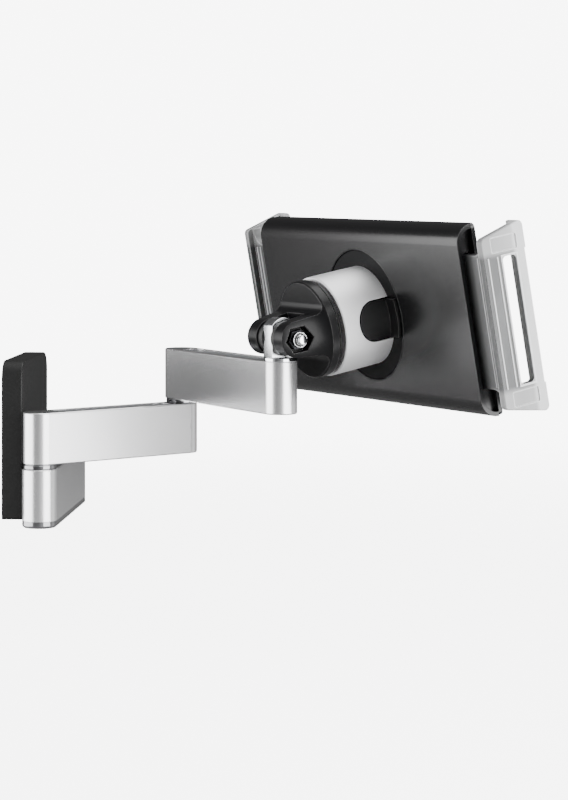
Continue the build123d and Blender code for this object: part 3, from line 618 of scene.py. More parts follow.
    def hand_over(self, wardrobe: "Wardrobe", finish: "Finish", body: str, slot: str) -> bpy.types.Object:
        """Put the finished piece in its real place, dress it and join it to its body.

        Args:
            wardrobe: Where the finishes are.
            finish: The piece's finish.
            body: The body that it moves with.
            slot: The name of a material slot; not used.

        Returns:
            The piece.
        """
        self.take()
        self.piece.matrix_world = self.place.matrix
        bpy.ops.object.transform_apply(location=True, rotation=True, scale=True)
        with editing():
            bpy.ops.mesh.remove_doubles(threshold=NEAR / 10)
            bpy.ops.mesh.normals_make_consistent(inside=False)
        bpy.ops.object.shade_smooth_by_angle(angle=SMOOTH_BELOW)
        wardrobe.dress(self.piece, finish)
        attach(self.piece, body)
        self.piece.select_set(False)
        log.info("%s: %s, on %s", self.piece.name, finish.value.name, body)
        return self.piece


def shade(colour: Colour, factor: float) -> Colour:
    """A colour made lighter or darker by a factor."""
    return (colour[0] * factor, colour[1] * factor, colour[2] * factor)


# Finishes


@dataclass(frozen=True)
class BlastedAluminium:
    """Aluminium, bead blasted and clear anodised; faces that look up are smoother, and their colour is
    darkened as painted shade.
    """

    name: str
    colour: Colour = (0.80, 0.80, 0.81)
    roughness: float = 0.26
    grain_per_metre: float = 3600.0
    cloud_per_metre: float = 26.0
    edge: float = 0.35 * MM
    grain_depth: float = 0.004 * MM
    # Colour factor of the painted shade on faces that look up; 1 leaves it out.
    top_painted_shade: float = 0.62
    metal: float = 0.88
    facing_up_from: float = 0.93
    facing_up_full: float = 0.97

    def make(self) -> bpy.types.Material:
        """Build the material.

        Returns:
            The material.
        """
        graph = Graph.material(self.name)
        point = graph.place()
        cloud = graph.noise(point, self.cloud_per_metre, 3.0)
        grain = graph.noise(point, self.grain_per_metre, 2.0, 0.6)
        facing = graph.node("ShaderNodeNewGeometry", output="True Normal")
        # Faces that look up are smoother, and their colour is darkened as painted shade.
        facing_up = graph.node("ShaderNodeSeparateXYZ", None, {0: facing}, "Z")
        facing_up = facing_up.ramp(self.facing_up_from, self.facing_up_full)
        skin = graph.blend(cloud.ramp(0.3, 0.7), shade(self.colour, 0.96), self.colour)
        colour = graph.blend(facing_up, skin, shade(self.colour, self.top_painted_shade))
        roughness = self.roughness + (cloud - 0.5) * 0.04 + (grain - 0.5) * 0.05 - facing_up * 0.06
        normal = graph.relief(grain, self.grain_depth, 0.3, graph.soft_edges(self.edge))
        return graph.finish(
            {"Base Color": colour, "Metallic": self.metal, "Roughness": roughness, "Normal": normal}
        )


@dataclass(frozen=True)
class TurnedMetal:
    """Bright metal with faint marks of the lathe, in rings about an upright axis."""

    name: str
    colour: Colour
    roughness: float
    lines_per_metre: float = 1500.0
    line_depth: float = 0.01 * MM
    line_stretch: Triple = (0.02, 0.02, 1.0)
    smudges_per_metre: float = 90.0
    edge: float = 0.15 * MM

    def make(self) -> bpy.types.Material:
        """Build the material.

        Returns:
            The material.
        """
        graph = Graph.material(self.name)
        point = graph.place(self.line_stretch)
        lines = graph.noise(point, self.lines_per_metre, 2.0, 0.7)
        smudge = graph.noise(graph.place(), self.smudges_per_metre, 2.0)
        colour = graph.blend(smudge.ramp(0.35, 0.75), self.colour, shade(self.colour, 0.94))
        roughness = self.roughness + (lines - 0.5) * 0.05 + smudge.ramp(0.5, 0.8, 0.0, 0.04)
        normal = graph.relief(lines, self.line_depth, 0.2, graph.soft_edges(self.edge))
        return graph.finish(
            {"Base Color": colour, "Metallic": 1.0, "Roughness": roughness, "Normal": normal}
        )


@dataclass(frozen=True)
class GrainedPlastic:
    """Moulded plastic or lacquer with a fine even grain, and, where asked, a painted highlight along its
    sharp edges.
    """

    name: str
    colour: Colour
    roughness: float
    grain_per_metre: float = 1500.0
    grain_depth: float = 0.05 * MM
    grain_strength: float = 0.5
    edge: float = 0.3 * MM
    shine: float = 0.5
    # How far the colour is lightened along sharp edges as a painted highlight; 0 leaves it out.
    painted_edge_highlight: float = 0.0
    gloss_patches: float = 0.06
    patches_per_metre: float = 60.0

    def make(self) -> bpy.types.Material:
        """Build the material.

        Returns:
            The material.
        """
        graph = Graph.material(self.name)
        point = graph.place()
        cells = graph.node(
            "ShaderNodeTexVoronoi",
            {"feature": "F1", "voronoi_dimensions": "3D"},
            {"Vector": point, "Scale": self.grain_per_metre},
            "Distance",
        )
        fine = graph.noise(point, self.grain_per_metre * 1.7, 2.0)
        dust = graph.noise(point, self.patches_per_metre, 3.0)
        height = cells * 0.6 + fine * 0.4
        colour = graph.blend(height.ramp(0.25, 0.75), shade(self.colour, 1.15), shade(self.colour, 0.9))
        # Painted highlight: the colour is lightened along sharp edges.
        if self.painted_edge_highlight:
            colour = graph.blend(graph.edge_light(self.edge * 0.6), colour, (self.painted_edge_highlight,) * 3)
        roughness = self.roughness + (dust - 0.5) * self.gloss_patches + (fine - 0.5) * 0.05
        normal = graph.relief(height, self.grain_depth, self.grain_strength, graph.soft_edges(self.edge))
        return graph.finish(
            {
                "Base Color": colour,
                "Roughness": roughness,
                "Normal": normal,
                "Specular IOR Level": self.shine,
            }
        )


@dataclass(frozen=True)
class FrostedPlastic:
    """Clear plastic with a frosted skin: thick places are milky, its edges carry a painted highlight,
    and painted shade darkens it where it slides out of the housing."""

    name: str = "frosted_plastic"
    colour: Colour = (0.07, 0.072, 0.074)
    thick_colour: Colour = (0.60, 0.605, 0.61)
    # Colour of the painted highlight along the grip's edges.
    edge_highlight_colour: Colour = (0.88, 0.885, 0.89)
    # Colour of the painted shade where the grip slides into the housing.
    shaded_colour: Colour = (0.07, 0.071, 0.073)
    roughness: float = 0.32
    see_through: float = 0.28
    edge: float = 1.1 * MM
    shade_start: float = 73.0 * MM
    shade_end: float = 85.5 * MM
    rail_start: float = 54.5 * MM
    rail_end: float = 57.0 * MM
    frame_start: float = 24.0 * MM
    frame_end: float = 27.5 * MM
    frame_share: float = 0.5
    frost_per_metre: float = 2200.0
    frost_depth: float = 0.01 * MM
    flow_per_metre: float = 90.0
    flow_stretch: Triple = (1.0, 1.0, 0.25)

    def make(self) -> bpy.types.Material:
        """Build the material.

        Returns:
            The material.
        """
        graph = Graph.material(self.name)
        point = graph.place()
        frost = graph.noise(point, self.frost_per_metre, 2.0)
        flow = graph.noise(graph.place(self.flow_stretch), self.flow_per_metre, 4.0)
        centre, inward = joint_line("ring_turn")
        side = joint_line("head_tilt")[1]
        # Painted shade: the grip is darker where it reaches back towards the housing.
        lit = graph.along(point, centre, side).size().ramp(self.shade_start, self.shade_end)
        rail = graph.along(point, centre, inward).ramp(self.rail_start, self.rail_end)
        height = graph.along(point, centre, inward.cross(side)).size()
        frames = height.ramp(self.frame_start, self.frame_end, 0.0, self.frame_share)
        thick = rail + frames - rail * frames + (flow - 0.5) * 0.5
        body = graph.blend(thick, self.colour, self.thick_colour)
        # The painted shade darkens the milky body inside the housing.
        body = graph.blend(lit, self.shaded_colour, body)
        # Painted highlight along the edges, left out where the painted shade falls.
        colour = graph.blend(graph.edge_light(self.edge) * lit, body, self.edge_highlight_colour)
        roughness = self.roughness + (frost - 0.5) * 0.12 + (flow - 0.5) * 0.06
        normal = graph.relief(frost, self.frost_depth, 0.3, graph.soft_edges(self.edge / 3))
        return graph.finish(
            {
                "Base Color": colour,
                "Roughness": roughness,
                "Normal": normal,
                "IOR": 1.46,
                "Transmission Weight": self.see_through,
                "Specular IOR Level": 0.5,
            }
        )


@dataclass(frozen=True)
class PlatedSteel:
    """Zinc plated steel with a slightly cloudy skin."""

    name: str = "plated_steel"
    colour: Colour = (0.62, 0.63, 0.65)
    roughness: float = 0.28
    spangles_per_metre: float = 420.0
    clouds_per_metre: float = 140.0
    spangle_depth: float = 0.01 * MM
    edge: float = 0.15 * MM

    def make(self) -> bpy.types.Material:
        """Build the material.

        Returns:
            The material.
        """
        graph = Graph.material(self.name)
        point = graph.place()
        values = {"Vector": point, "Scale": self.spangles_per_metre}
        spangle = graph.node("ShaderNodeTexVoronoi", {"feature": "F1"}, values, "Distance")
        cloud = graph.noise(point, self.clouds_per_metre, 3.0)
        colour = graph.blend(cloud.ramp(0.3, 0.7), self.colour, shade(self.colour, 0.86))
        roughness = self.roughness + (cloud - 0.5) * 0.12 + (spangle - 0.5) * 0.05
        normal = graph.relief(spangle, self.spangle_depth, 0.2, graph.soft_edges(self.edge))
        return graph.finish(
            {"Base Color": colour, "Metallic": 1.0, "Roughness": roughness, "Normal": normal}
        )


@dataclass(frozen=True)
class SoftRubber:
    """Soft rubber with a dull, slightly dusty skin."""

    name: str
    colour: Colour
    roughness: float = 0.62
    grain_per_metre: float = 1800.0
    grain_depth: float = 0.03 * MM
    dust_per_metre: float = 110.0
    edge: float = 0.15 * MM

    def make(self) -> bpy.types.Material:
        """Build the material.

        Returns:
            The material.
        """
        graph = Graph.material(self.name)
        point = graph.place()
        skin = graph.noise(point, self.grain_per_metre, 3.0, 0.6)
        dust = graph.noise(point, self.dust_per_metre, 3.0)
        colour = graph.blend(dust.ramp(0.45, 0.85), self.colour, shade(self.colour, 1.25))
        roughness = self.roughness + (dust - 0.5) * 0.1
        normal = graph.relief(skin, self.grain_depth, 0.4, graph.soft_edges(self.edge))
        return graph.finish({"Base Color": colour, "Roughness": roughness, "Normal": normal})


class Finish(Enum):
    """The finishes of the mount's pieces."""

    ALUMINIUM = BlastedAluminium("blasted_aluminium")
    SLEEVE = BlastedAluminium("fine_blasted_aluminium", (0.88, 0.88, 0.89), 0.54, top_painted_shade=1.0)
    CHROME = TurnedMetal("chrome", (0.86, 0.87, 0.89), 0.05)
    BRIGHT = TurnedMetal("bright_steel", (0.80, 0.81, 0.83), 0.19)
    STEEL = PlatedSteel()
    SPRING = TurnedMetal("spring_wire", (0.60, 0.60, 0.61), 0.25)
    DARK_CHROME = TurnedMetal("dark_chrome", (0.30, 0.30, 0.31), 0.10)
    # Painted shade: the chrome nut is coloured near black for the shade in its pocket.
    SHADED_NUT = TurnedMetal("blackened_steel", (0.030, 0.030, 0.033), 0.28)
    BLACK_MOULDING = GrainedPlastic(
        "black_moulding",
        (0.007, 0.007, 0.007),
        0.46,
        grain_per_metre=900.0,
        grain_depth=0.10 * MM,
        edge=0.5 * MM,
        shine=0.32,
        painted_edge_highlight=0.16,
    )
    BLACK_SATIN = GrainedPlastic(
        "black_satin",
        (0.004, 0.004, 0.0045),
        0.26,
        grain_per_metre=2400.0,
        grain_depth=0.015 * MM,
        grain_strength=0.2,
        gloss_patches=0.015,
    )
    HEAD_LACQUER = GrainedPlastic(
        "head_lacquer",
        (0.005, 0.005, 0.0055),
        0.30,
        grain_per_metre=2000.0,
        grain_depth=0.02 * MM,
        grain_strength=0.3,
        edge=0.5 * MM,
        shine=0.20,
        painted_edge_highlight=0.16,
    )
    PORT_BLACK = GrainedPlastic(
        "port_black", (0.004, 0.004, 0.0045), 0.42, grain_per_metre=2000.0, grain_depth=0.02 * MM, shine=0.10
    )
    BUTTON_BLACK = GrainedPlastic(
        "button_black",
        (0.003, 0.003, 0.0035),
        0.36,
        grain_per_metre=2400.0,
        grain_depth=0.02 * MM,
        grain_strength=0.2,
        painted_edge_highlight=0.06,
    )
    FROSTED = FrostedPlastic()
    RIB = FrostedPlastic(
        "frosted_ribs", (0.62, 0.63, 0.64), (0.70, 0.71, 0.72), shaded_colour=(0.4, 0.41, 0.42)
    )
    STRIP = SoftRubber("grey_strip", (0.14, 0.145, 0.15), 0.5)
    PAD = SoftRubber("seat_pad", (0.02, 0.02, 0.02))
    BEARING = GrainedPlastic(
        "bearing_plastic",
        (0.62, 0.61, 0.57),
        0.4,
        grain_per_metre=1800.0,
        grain_depth=0.02 * MM,
        grain_strength=0.2,
    )
    FIBRE = GrainedPlastic("fibre_washer", (0.012, 0.012, 0.012), 0.55, grain_per_metre=1200.0)


class Wardrobe:
    """Makes each finish once and puts it on the pieces."""

    def __init__(self) -> None:
        """Start with no finish made."""
        self.made: dict[Finish, bpy.types.Material] = {}

    def material(self, finish: Finish) -> bpy.types.Material:
        """The material of a finish, made the first time it is asked for.

        Args:
            finish: The finish.

        Returns:
            Its material.
        """
        if finish not in self.made:
            self.made[finish] = finish.value.make()
        return self.made[finish]

    def dress(self, piece: bpy.types.Object, finish: Finish) -> None:
        """Give a piece one finish all over.

        Args:
            piece: The object.
            finish: Its finish.
        """
        piece.data.materials.clear()
        piece.data.materials.append(self.material(finish))

    def dress_nodes(self, finish: Finish, *names: str) -> None:
        """Give solid pieces of the frame a finish.

        Args:
            finish: Their finish.
            names: The pieces' names.
        """
        for name in names:
            self.dress(frame["nodes"][name], finish)
            log.info("%s: %s", name, finish.value.name)


# Sub-assemblies


class WallFoot:
    """The wall plate with its cover, and the block that carries the first pivot."""

    def build(self, wardrobe: Wardrobe) -> None:
        """Dress the foot.

        Args:
            wardrobe: Where the finishes are.
        """
        wardrobe.dress_nodes(Finish.BLACK_MOULDING, "wall_cover")
        wardrobe.dress_nodes(Finish.ALUMINIUM, "wall_block")
        wardrobe.dress_nodes(Finish.DARK_CHROME, "block_end_cap", "wall_washer")
        wardrobe.dress_nodes(Finish.STEEL, "wall_plate", "carrier_plate", "block_screws", "locking_screw")
        wardrobe.dress_nodes(Finish.STEEL, "cap_screw")
        wardrobe.dress_nodes(Finish.BEARING, "wall_pivot_bush")


class FoldingArms:
    """The two arms with their cable strips and pivots."""

    def build(self, wardrobe: Wardrobe) -> None:
        """Dress the arms.

        Args:
            wardrobe: Where the finishes are.
        """
        wardrobe.dress_nodes(Finish.ALUMINIUM, "arm_1", "arm_2")
        wardrobe.dress_nodes(Finish.STRIP, "arm_1_strip", "arm_2_strip")
        wardrobe.dress_nodes(Finish.DARK_CHROME, "elbow_washer")
        wardrobe.dress_nodes(Finish.BEARING, "elbow_bush", "head_bush")
        wardrobe.dress_nodes(Finish.STEEL, "wall_pivot_pin", "wall_pivot_screw")
        wardrobe.dress_nodes(Finish.STEEL, "elbow_pin", "elbow_screw", "head_pivot_screw")


@dataclass
class TiltHead:
    """The bright tongue and the black clevis head that tilts on it."""

    blade_width: float = 11.4 * MM
    blade_thickness: float = 6.7 * MM
    blade_round: float = 3.1 * MM
    crown_radius: float = 6.6 * MM
    blade_top: float = 8.1 * MM
    disc_top: float = -7.5 * MM
    disc_thickness: float = 1.5 * MM
    disc_radius: float = 6.7 * MM
    pin_radius: float = 3.0 * MM
    pin_length: float = 20.0 * MM
    bolt_radius: float = 1.85 * MM
    bolt_low: float = 14.6 * MM
    bolt_end: float = 17.6 * MM
    thread_pitch: float = 0.5 * MM
    thread_depth: float = 0.12 * MM
    collar_radius: float = 3.05 * MM
    collar_top: float = 15.45 * MM
    collar_height: float = 0.6 * MM
    collar_rim: float = 0.28 * MM
    collar_sink: float = 0.4 * MM
    collar_edge: float = 0.12 * MM
    insert_radius: float = 2.72 * MM
    insert_top: float = 15.2 * MM
    insert_height: float = 0.8 * MM
    insert_edge: float = 0.3 * MM

    def build(self, wardrobe: Wardrobe) -> None:
        """Dress the head and add the tongue's rounded blade and the bolt's end.

        Args:
            wardrobe: Where the finishes are.
        """
        wardrobe.dress_nodes(Finish.CHROME, "head_tongue", "tilt_bolt")
        # The nut is chrome; its near-black colour is painted shade.
        wardrobe.dress_nodes(Finish.SHADED_NUT, "tilt_nut")
        wardrobe.dress_nodes(Finish.HEAD_LACQUER, "clevis_head", "groove_ring")
        wardrobe.dress_nodes(Finish.FIBRE, "friction_washers")
        wardrobe.dress_nodes(Finish.STEEL, "ring_spindle", "spindle_screw")
        middle, side = joint_line("head_tilt")
        self.blade(wardrobe, middle, side)
        self.disc_and_pin(wardrobe, middle)
        across = Place(middle, UPWARD, side.cross(UPWARD))
        self.bolt_thread(wardrobe, across)
        self.nut_collar(wardrobe, across)

    def blade(self, wardrobe: Wardrobe, middle: Vector, side: Vector) -> None:
        """The tongue's flat upper end, with full round edges and crown.

        Args:
            wardrobe: Where the finishes are.
            middle: The middle of the tilt axis.
            side: The direction of the tilt axis.
        """
        half, crown = self.blade_thickness / 2, self.blade_top - self.crown_radius
        reach, foot = self.blade_width / 2, self.disc_top - crown
        flat = Place(middle + UPWARD * crown, side.cross(UPWARD), UPWARD)
        blade = Bench.rod("tongue_blade", flat, self.crown_radius, -half, half, 128)
        blade.trim((reach, 0, 0), (1, 0, 0)).trim((-reach, 0, 0), (-1, 0, 0)).trim((0, 0, 0), (0, -1, 0))
        blade.stretch_end(lambda p: p.y < NEAR, (0, foot - self.blade_thickness, 0))
        blade.soften(lambda p: abs(abs(p.z) - half) < NEAR, self.blade_round, 8)
        blade.trim((0, foot, 0), (0, -1, 0))
        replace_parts(blade.hand_over(wardrobe, Finish.BRIGHT, "swivel", "chrome"), "head_tongue")

    def disc_and_pin(self, wardrobe: Wardrobe, middle: Vector) -> None:
        """The tongue's foot: a disc on the second arm, and the pin that turns in it.

        Args:
            wardrobe: Where the finishes are.
            middle: The middle of the tilt axis.
        """
        upright = Place(middle, Vector((1, 0, 0)), Vector((0, 1, 0)))
        low = self.disc_top - self.disc_thickness
        pin_end = low - self.pin_length
        disc = Bench.rod("tongue_disc", upright, self.disc_radius, low, self.disc_top, 96)
        disc.soften(lambda p: abs(p.z - self.disc_top) < NEAR, self.disc_thickness / 3)
        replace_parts(disc.hand_over(wardrobe, Finish.CHROME, "swivel", "chrome"), "head_tongue")
        pin = Bench.rod("tongue_pin", upright, self.pin_radius, pin_end, low)
        pin.soften(lambda p: abs(p.z - pin_end) < NEAR, self.pin_radius / 6)
        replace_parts(pin.hand_over(wardrobe, Finish.CHROME, "swivel", "chrome"), "head_tongue")

    def bolt_thread(self, wardrobe: Wardrobe, across: Place) -> None:
        """The bolt's threaded end, which stands out of the nut.

        Args:
            wardrobe: Where the finishes are.
            across: A place whose third axis is the tilt axis.
        """
        bolt = Bench.rod("bolt_thread", across, self.bolt_radius, self.bolt_low, self.bolt_end)
        bolt.soften(lambda p: abs(p.z - self.bolt_end) < NEAR, self.bolt_radius / 4)
        first, last = self.bolt_low + self.thread_pitch, self.bolt_end - self.thread_pitch
        bolt.groove(first, last, self.thread_pitch, self.thread_depth)
        bolt.hand_over(wardrobe, Finish.CHROME, "head", "chrome")

    def nut_collar(self, wardrobe: Wardrobe, across: Place) -> None:
        """The nut's bright crimped rim and the plastic insert inside it.

        Args:
            wardrobe: Where the finishes are.
            across: A place whose third axis is the tilt axis.
        """
        top, low = self.collar_top, self.collar_top - self.collar_height
        rim = Bench.rod("nut_rim", across, self.collar_radius, low, top)
        rim.sink(lambda p: abs(p.z - top) < NEAR, self.collar_rim, self.collar_sink)
        rim.soften(lambda p: abs(p.z - top) < NEAR, self.collar_edge, 3)
        rim.hand_over(wardrobe, Finish.CHROME, "head", "steel")
        insert_low = self.insert_top - self.insert_height
        insert = Bench.rod("nut_insert", across, self.insert_radius, insert_low, self.insert_top)
        insert.soften(lambda p: abs(p.z - self.insert_top) < NEAR, self.insert_edge, 3)
        insert.hand_over(wardrobe, Finish.FIBRE, "head", "friction")


class TurningRing:
    """The bright sleeve, its release buttons and the port in the holder's back."""

    def build(self, wardrobe: Wardrobe) -> None:
        """Dress the ring.

        Args:
            wardrobe: Where the finishes are.
        """
        wardrobe.dress_nodes(Finish.SLEEVE, "ring_sleeve")
        wardrobe.dress_nodes(Finish.BUTTON_BLACK, "near_button", "far_button")
        wardrobe.dress_nodes(Finish.PORT_BLACK, "port_ring")
        wardrobe.dress_nodes(Finish.STEEL, "port_screws")
        wardrobe.dress_nodes(Finish.SPRING, "near_button_spring", "far_button_spring")


class Side(Enum):
    """Which of the two grips."""

    NEAR = "near"
    FAR = "far"


@dataclass
class Holder:
    """The flat black housing and its frosted grips."""

    back: float = 40.4 * MM
    height: float = 74.6 * MM
    edge_radius: float = 7.2 * MM
    edge_slack: float = 0.02 * MM
    opening_radius: float = 26.9 * MM
    lip_radius: float = 0.25 * MM
    lip_flatness: float = 0.5
    slide_back: float = 43.7 * MM
    bead_places: tuple[float, ...] = (80.6 * MM, 83.0 * MM)
    bead_width: float = 0.9 * MM
    bead_rise: float = 0.45 * MM
    bead_length: float = 50.0 * MM
    wall_outside: float = 88.05 * MM
    rib_depths: tuple[float, ...] = (43.1 * MM, 47.4 * MM)
    rib_width: float = 0.63 * MM
    window_middle: float = 52.75 * MM
    window_depth: float = 6.3 * MM
    window_height: float = 49.0 * MM
    window_rim: float = 0.8 * MM

    def build(self, wardrobe: Wardrobe) -> None:
        """Dress the holder and add the grips' ribs and the opening's rim.

        Args:
            wardrobe: Where the finishes are.
        """
        wardrobe.dress_nodes(Finish.BLACK_SATIN, "holder_shell", "holder_cover")
        wardrobe.dress_nodes(Finish.STEEL, "holder_screws")
        wardrobe.dress_nodes(Finish.PAD, "seat_pads")
        wardrobe.dress_nodes(Finish.BEARING, "pinion")
        wardrobe.dress_nodes(Finish.FROSTED, "near_grip", "far_grip")
        place = self.place()
        self.clean_shell(wardrobe, place)
        self.opening_rim(wardrobe, place)
        self.grip_lines(wardrobe, place)

    @staticmethod
    def place() -> Place:
        """The holder's place.

        Returns:
            A place with X towards the near grip, Y up the back and Z out of the back.
        """
        middle, inward = joint_line("ring_turn")
        side = joint_line("head_tilt")[1]
        return Place(middle, side, side.cross(inward))

    def clean_shell(self, wardrobe: Wardrobe, place: Place) -> None:
        """The housing's shell, with its inner posts kept inside the rounding of its long edges.

        Args:
            wardrobe: Where the finishes are.
            place: The holder's place.
        """
        mesh = frame["nodes"]["holder_shell"].data.copy()
        shell = bpy.data.objects.new("housing_shell", mesh)
        bpy.context.scene.collection.objects.link(shell)
        bpy.context.view_layer.objects.active = shell
        shell.select_set(True)
        with editing():
            bpy.ops.mesh.remove_doubles(threshold=NEAR, use_sharp_edge_from_normals=True)
        to_place = place.matrix.inverted()
        centre_height = self.height / 2 - self.edge_radius
        centre_depth = self.back + self.edge_radius
        for vertex in mesh.vertices:
            local = to_place @ vertex.co
            out = Vector((0, abs(local.y) - centre_height, local.z + centre_depth))
            if out.y > 0 and out.z > 0 and out.length > self.edge_radius + self.edge_slack:
                out *= self.edge_radius / out.length
                height = math.copysign(centre_height + out.y, local.y)
                vertex.co = place.matrix @ Vector((local.x, height, out.z - centre_depth))
        wardrobe.dress(shell, Finish.BLACK_SATIN)
        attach(shell, "holder")
        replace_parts(shell, "holder_shell")
        shell.select_set(False)
        log.info("%s: %s, on holder", shell.name, Finish.BLACK_SATIN.value.name)

    def opening_rim(self, wardrobe: Wardrobe, place: Place) -> None:
        """A fine raised lip round the port's opening.

        Args:
            wardrobe: Where the finishes are.
            place: The holder's place.
        """
        bpy.ops.mesh.primitive_torus_add(
            major_radius=self.opening_radius,
            minor_radius=self.lip_radius,
            major_segments=144,
            minor_segments=10,
        )
        rim = Bench("opening_rim", place.moved((0, 0, -self.back)))
        with editing():
            bpy.ops.transform.resize(value=(1, 1, self.lip_flatness), center_override=(0, 0, 0))
        rim.hand_over(wardrobe, Finish.BLACK_SATIN, "holder", "black_satin")

    def grip_lines(self, wardrobe: Wardrobe, place: Place) -> None:
        """The raised lines on both grips and the borders of their windows.

        Args:
            wardrobe: Where the finishes are.
            place: The holder's place.
        """
        on_slide = [(out, 0, -self.slide_back) for out in self.bead_places]
        on_wall = [(self.wall_outside, 0, -depth) for depth in self.rib_depths]
        at_window = [(self.wall_outside, 0, -self.window_middle)]
        for pattern, spots in (
            (self.slide_rib(place), on_slide),
            (self.wall_rib(place), on_wall),
            (self.window_border(place), at_window),
        ):
            label = pattern.piece.name
            for side in Side:
                grip = place if side is Side.NEAR else place.turned_over()
                for number, spot in enumerate(spots, 1):
                    ending = f"_{number}" if len(spots) > 1 else ""
                    line = pattern.repeat(f"{side.value}_{label}{ending}", grip.moved(spot))
                    line.hand_over(wardrobe, Finish.RIB, f"{side.value}_clamp", "frosted")
            pattern.put_away()

    def slide_rib(self, place: Place) -> Bench:
        """The pattern of the raised lines across a grip's slide."""
        rib = Bench.bar("slide_rib", place, (self.bead_width, self.bead_length, 2 * self.bead_rise))
        return rib.soften(lambda p: abs(p.z - self.bead_rise) < NEAR, self.bead_rise * 0.8)

    def wall_rib(self, place: Place) -> Bench:
        """The pattern of the raised lines down a grip's outer wall."""
        rib = Bench.bar("wall_rib", place, (self.bead_rise, self.bead_length, self.rib_width))
        return rib.soften(lambda p: abs(p.x - self.bead_rise / 2) < NEAR, self.bead_rise * 0.35)

    def window_border(self, place: Place) -> Bench:
        """The pattern of the raised border of a grip's window.

        Args:
            place: The holder's place.

        Returns:
            The bench with the border.
        """
        outside = self.bead_rise / 2
        high, deep = self.window_height + 2 * self.window_rim, self.window_depth + 2 * self.window_rim
        half_high, half_deep = self.window_height / 2 + NEAR, self.window_depth / 2 + NEAR
        rim = Bench.bar("window_rim", place, (self.bead_rise, high, deep))
        rim.hollow(outside, self.window_rim, lambda p: abs(p.y) < half_high and abs(p.z) < half_deep)
        return rim.soften(lambda p: abs(p.x - outside) < NEAR, self.bead_rise * 0.2, 2)


@dataclass(frozen=True)
class Softbox:
    """A soft rectangular light: its middle, its width and height, and how bright its face is."""

    name: str
    place: Triple
    aim: Triple
    size: tuple[float, float]
    brightness: float

    def hang(self) -> None:
        """Hang the light. Only its glow and its reflections show."""
        data = bpy.data.lights.new(self.name, "AREA")
        data.shape = "RECTANGLE"
        data.size, data.size_y = self.size
        data.energy = self.brightness * math.pi * self.size[0] * self.size[1]
        light = bpy.data.objects.new(self.name, data)
        light.location = self.place
        way = Vector(self.aim) - Vector(self.place)
        light.rotation_euler = way.to_track_quat("-Z", "Y").to_euler()
        light.visible_camera = False
        bpy.context.scene.collection.objects.link(light)


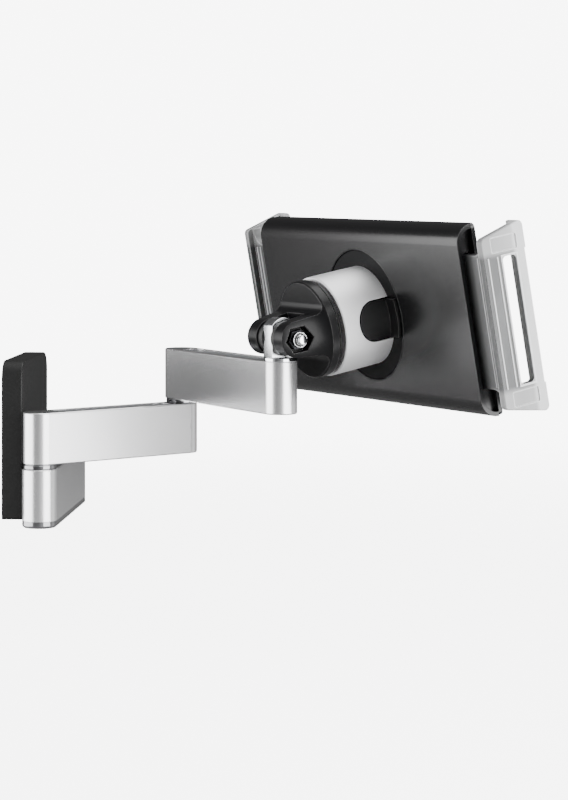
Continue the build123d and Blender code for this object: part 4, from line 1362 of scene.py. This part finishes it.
@dataclass
class Studio:
    """A pale floor, soft lights and the camera."""

    floor_height: float = -75 * MM
    floor_radius: float = 3.0
    floor_colour: tuple[float, float, float, float] = (0.95, 0.95, 0.95, 1.0)
    floor_roughness: float = 0.35
    floor_cover: float = 0.22
    floor_fade: tuple[float, float] = (0.25, 0.9)
    camera_place: Triple = (-1.1247, -0.1928, 0.1120)
    camera_heading: float = 4.1
    lens: float = 122.82
    sensor: float = 36.0
    view_shift: float = -0.2954
    backdrop_light: float = 10.0
    round_about: tuple[tuple[float, float], ...] = (
        (-180, 0.12),
        (-150, 0.14),
        (-118, 0.20),
        (-88, 2.2),
        (-60, 1.4),
        (-24, 0.16),
        (0, 0.28),
        (28, 1.0),
        (58, 1.3),
        (82, 0.5),
        (108, 1.5),
        (135, 0.5),
        (180, 0.12),
    )
    side_fade: tuple[float, float] = (0.25, 0.75)
    side_share: float = 0.3
    overhead: float = 0.8
    overhead_fade: tuple[float, float] = (0.5, 0.95)
    lights: tuple[Softbox, ...] = (
        Softbox("right_softbox", (-0.31, -0.36, 0.06), (-0.31, 0.0, 0.06), (0.44, 0.50), 7.0),
        Softbox("left_softbox", (-0.13, 0.25, 0.04), (-0.13, 0.0, 0.04), (0.48, 0.34), 5.0),
        Softbox("top_softbox", (0.10, -0.26, 0.70), (0.10, -0.26, 0.0), (0.50, 0.50), 4.0),
    )

    def build(self) -> None:
        """Set up the floor, the lights, the surroundings and the camera."""
        self.floor()
        self.surroundings()
        for light in self.lights:
            light.hang()
        self.camera()

    def floor(self) -> None:
        """A round pale floor that lets the backdrop glow through and fades out towards its rim."""
        bpy.ops.mesh.primitive_circle_add(
            vertices=96, radius=self.floor_radius, fill_type="NGON", location=(0, 0, self.floor_height)
        )
        floor = bpy.context.object
        floor.name = "floor"
        graph = Graph.material("pale_floor")
        point = graph.node("ShaderNodeTexCoord", output="Object")
        reach = graph.node("ShaderNodeVectorMath", {"operation": "LENGTH"}, {0: point}, "Value")
        values = {"Base Color": self.floor_colour, "Roughness": self.floor_roughness}
        surface = graph.node("ShaderNodeBsdfPrincipled", None, values)
        clear = graph.node("ShaderNodeBsdfTransparent")
        fade = reach.ramp(*self.floor_fade, 1.0 - self.floor_cover, 1.0)
        mixed = graph.node("ShaderNodeMixShader", None, {0: fade, 1: surface, 2: clear})
        floor.data.materials.append(graph.close(mixed))

    def surroundings(self) -> None:
        """A bright backdrop, and around the mount light that swells and fades softly."""
        world = bpy.data.worlds.new("studio")
        bpy.context.scene.world = world
        graph = Graph(world)
        way = graph.node("ShaderNodeTexCoord", output="Generated")
        x, y, z = (graph.node("ShaderNodeSeparateXYZ", None, {0: way}, axis) for axis in "XYZ")
        heading = graph.node("ShaderNodeMath", {"operation": "ARCTAN2"}, {0: -y, 1: -x})
        stops = [((angle + 180) / 360, (level,) * 3) for angle, level in self.round_about]
        ring = graph.node("ShaderNodeValToRGB", {"stops": stops}, {0: heading / (2 * math.pi) + 0.5})
        sides = ring * z.size().ramp(*self.side_fade, 1.0, self.side_share)
        light = sides + z.ramp(*self.overhead_fade, 0.0, self.overhead)
        seen = graph.node("ShaderNodeLightPath", output="Is Camera Ray")
        strength = light * (1 - seen) + seen * self.backdrop_light
        graph.close(graph.node("ShaderNodeBackground", None, {"Strength": strength}))

    def camera(self) -> None:
        """Stand the camera where the picture was taken."""
        data = bpy.data.cameras.new("camera")
        data.lens = self.lens
        data.sensor_width = self.sensor
        data.sensor_fit = "AUTO"
        data.shift_y = self.view_shift
        data.clip_start = 0.05
        camera = bpy.data.objects.new("camera", data)
        camera.location = self.camera_place
        camera.rotation_euler = (math.pi / 2, 0.0, math.radians(self.camera_heading - 90.0))
        bpy.context.scene.collection.objects.link(camera)
        bpy.context.scene.camera = camera


def main() -> None:
    """Build the picture."""
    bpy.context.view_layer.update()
    bpy.ops.object.select_all(action="DESELECT")
    wardrobe = Wardrobe()
    for part in (WallFoot(), FoldingArms(), TiltHead(), TurningRing(), Holder()):
        part.build(wardrobe)
    Studio().build()


if __name__ == "__main__":
    main()
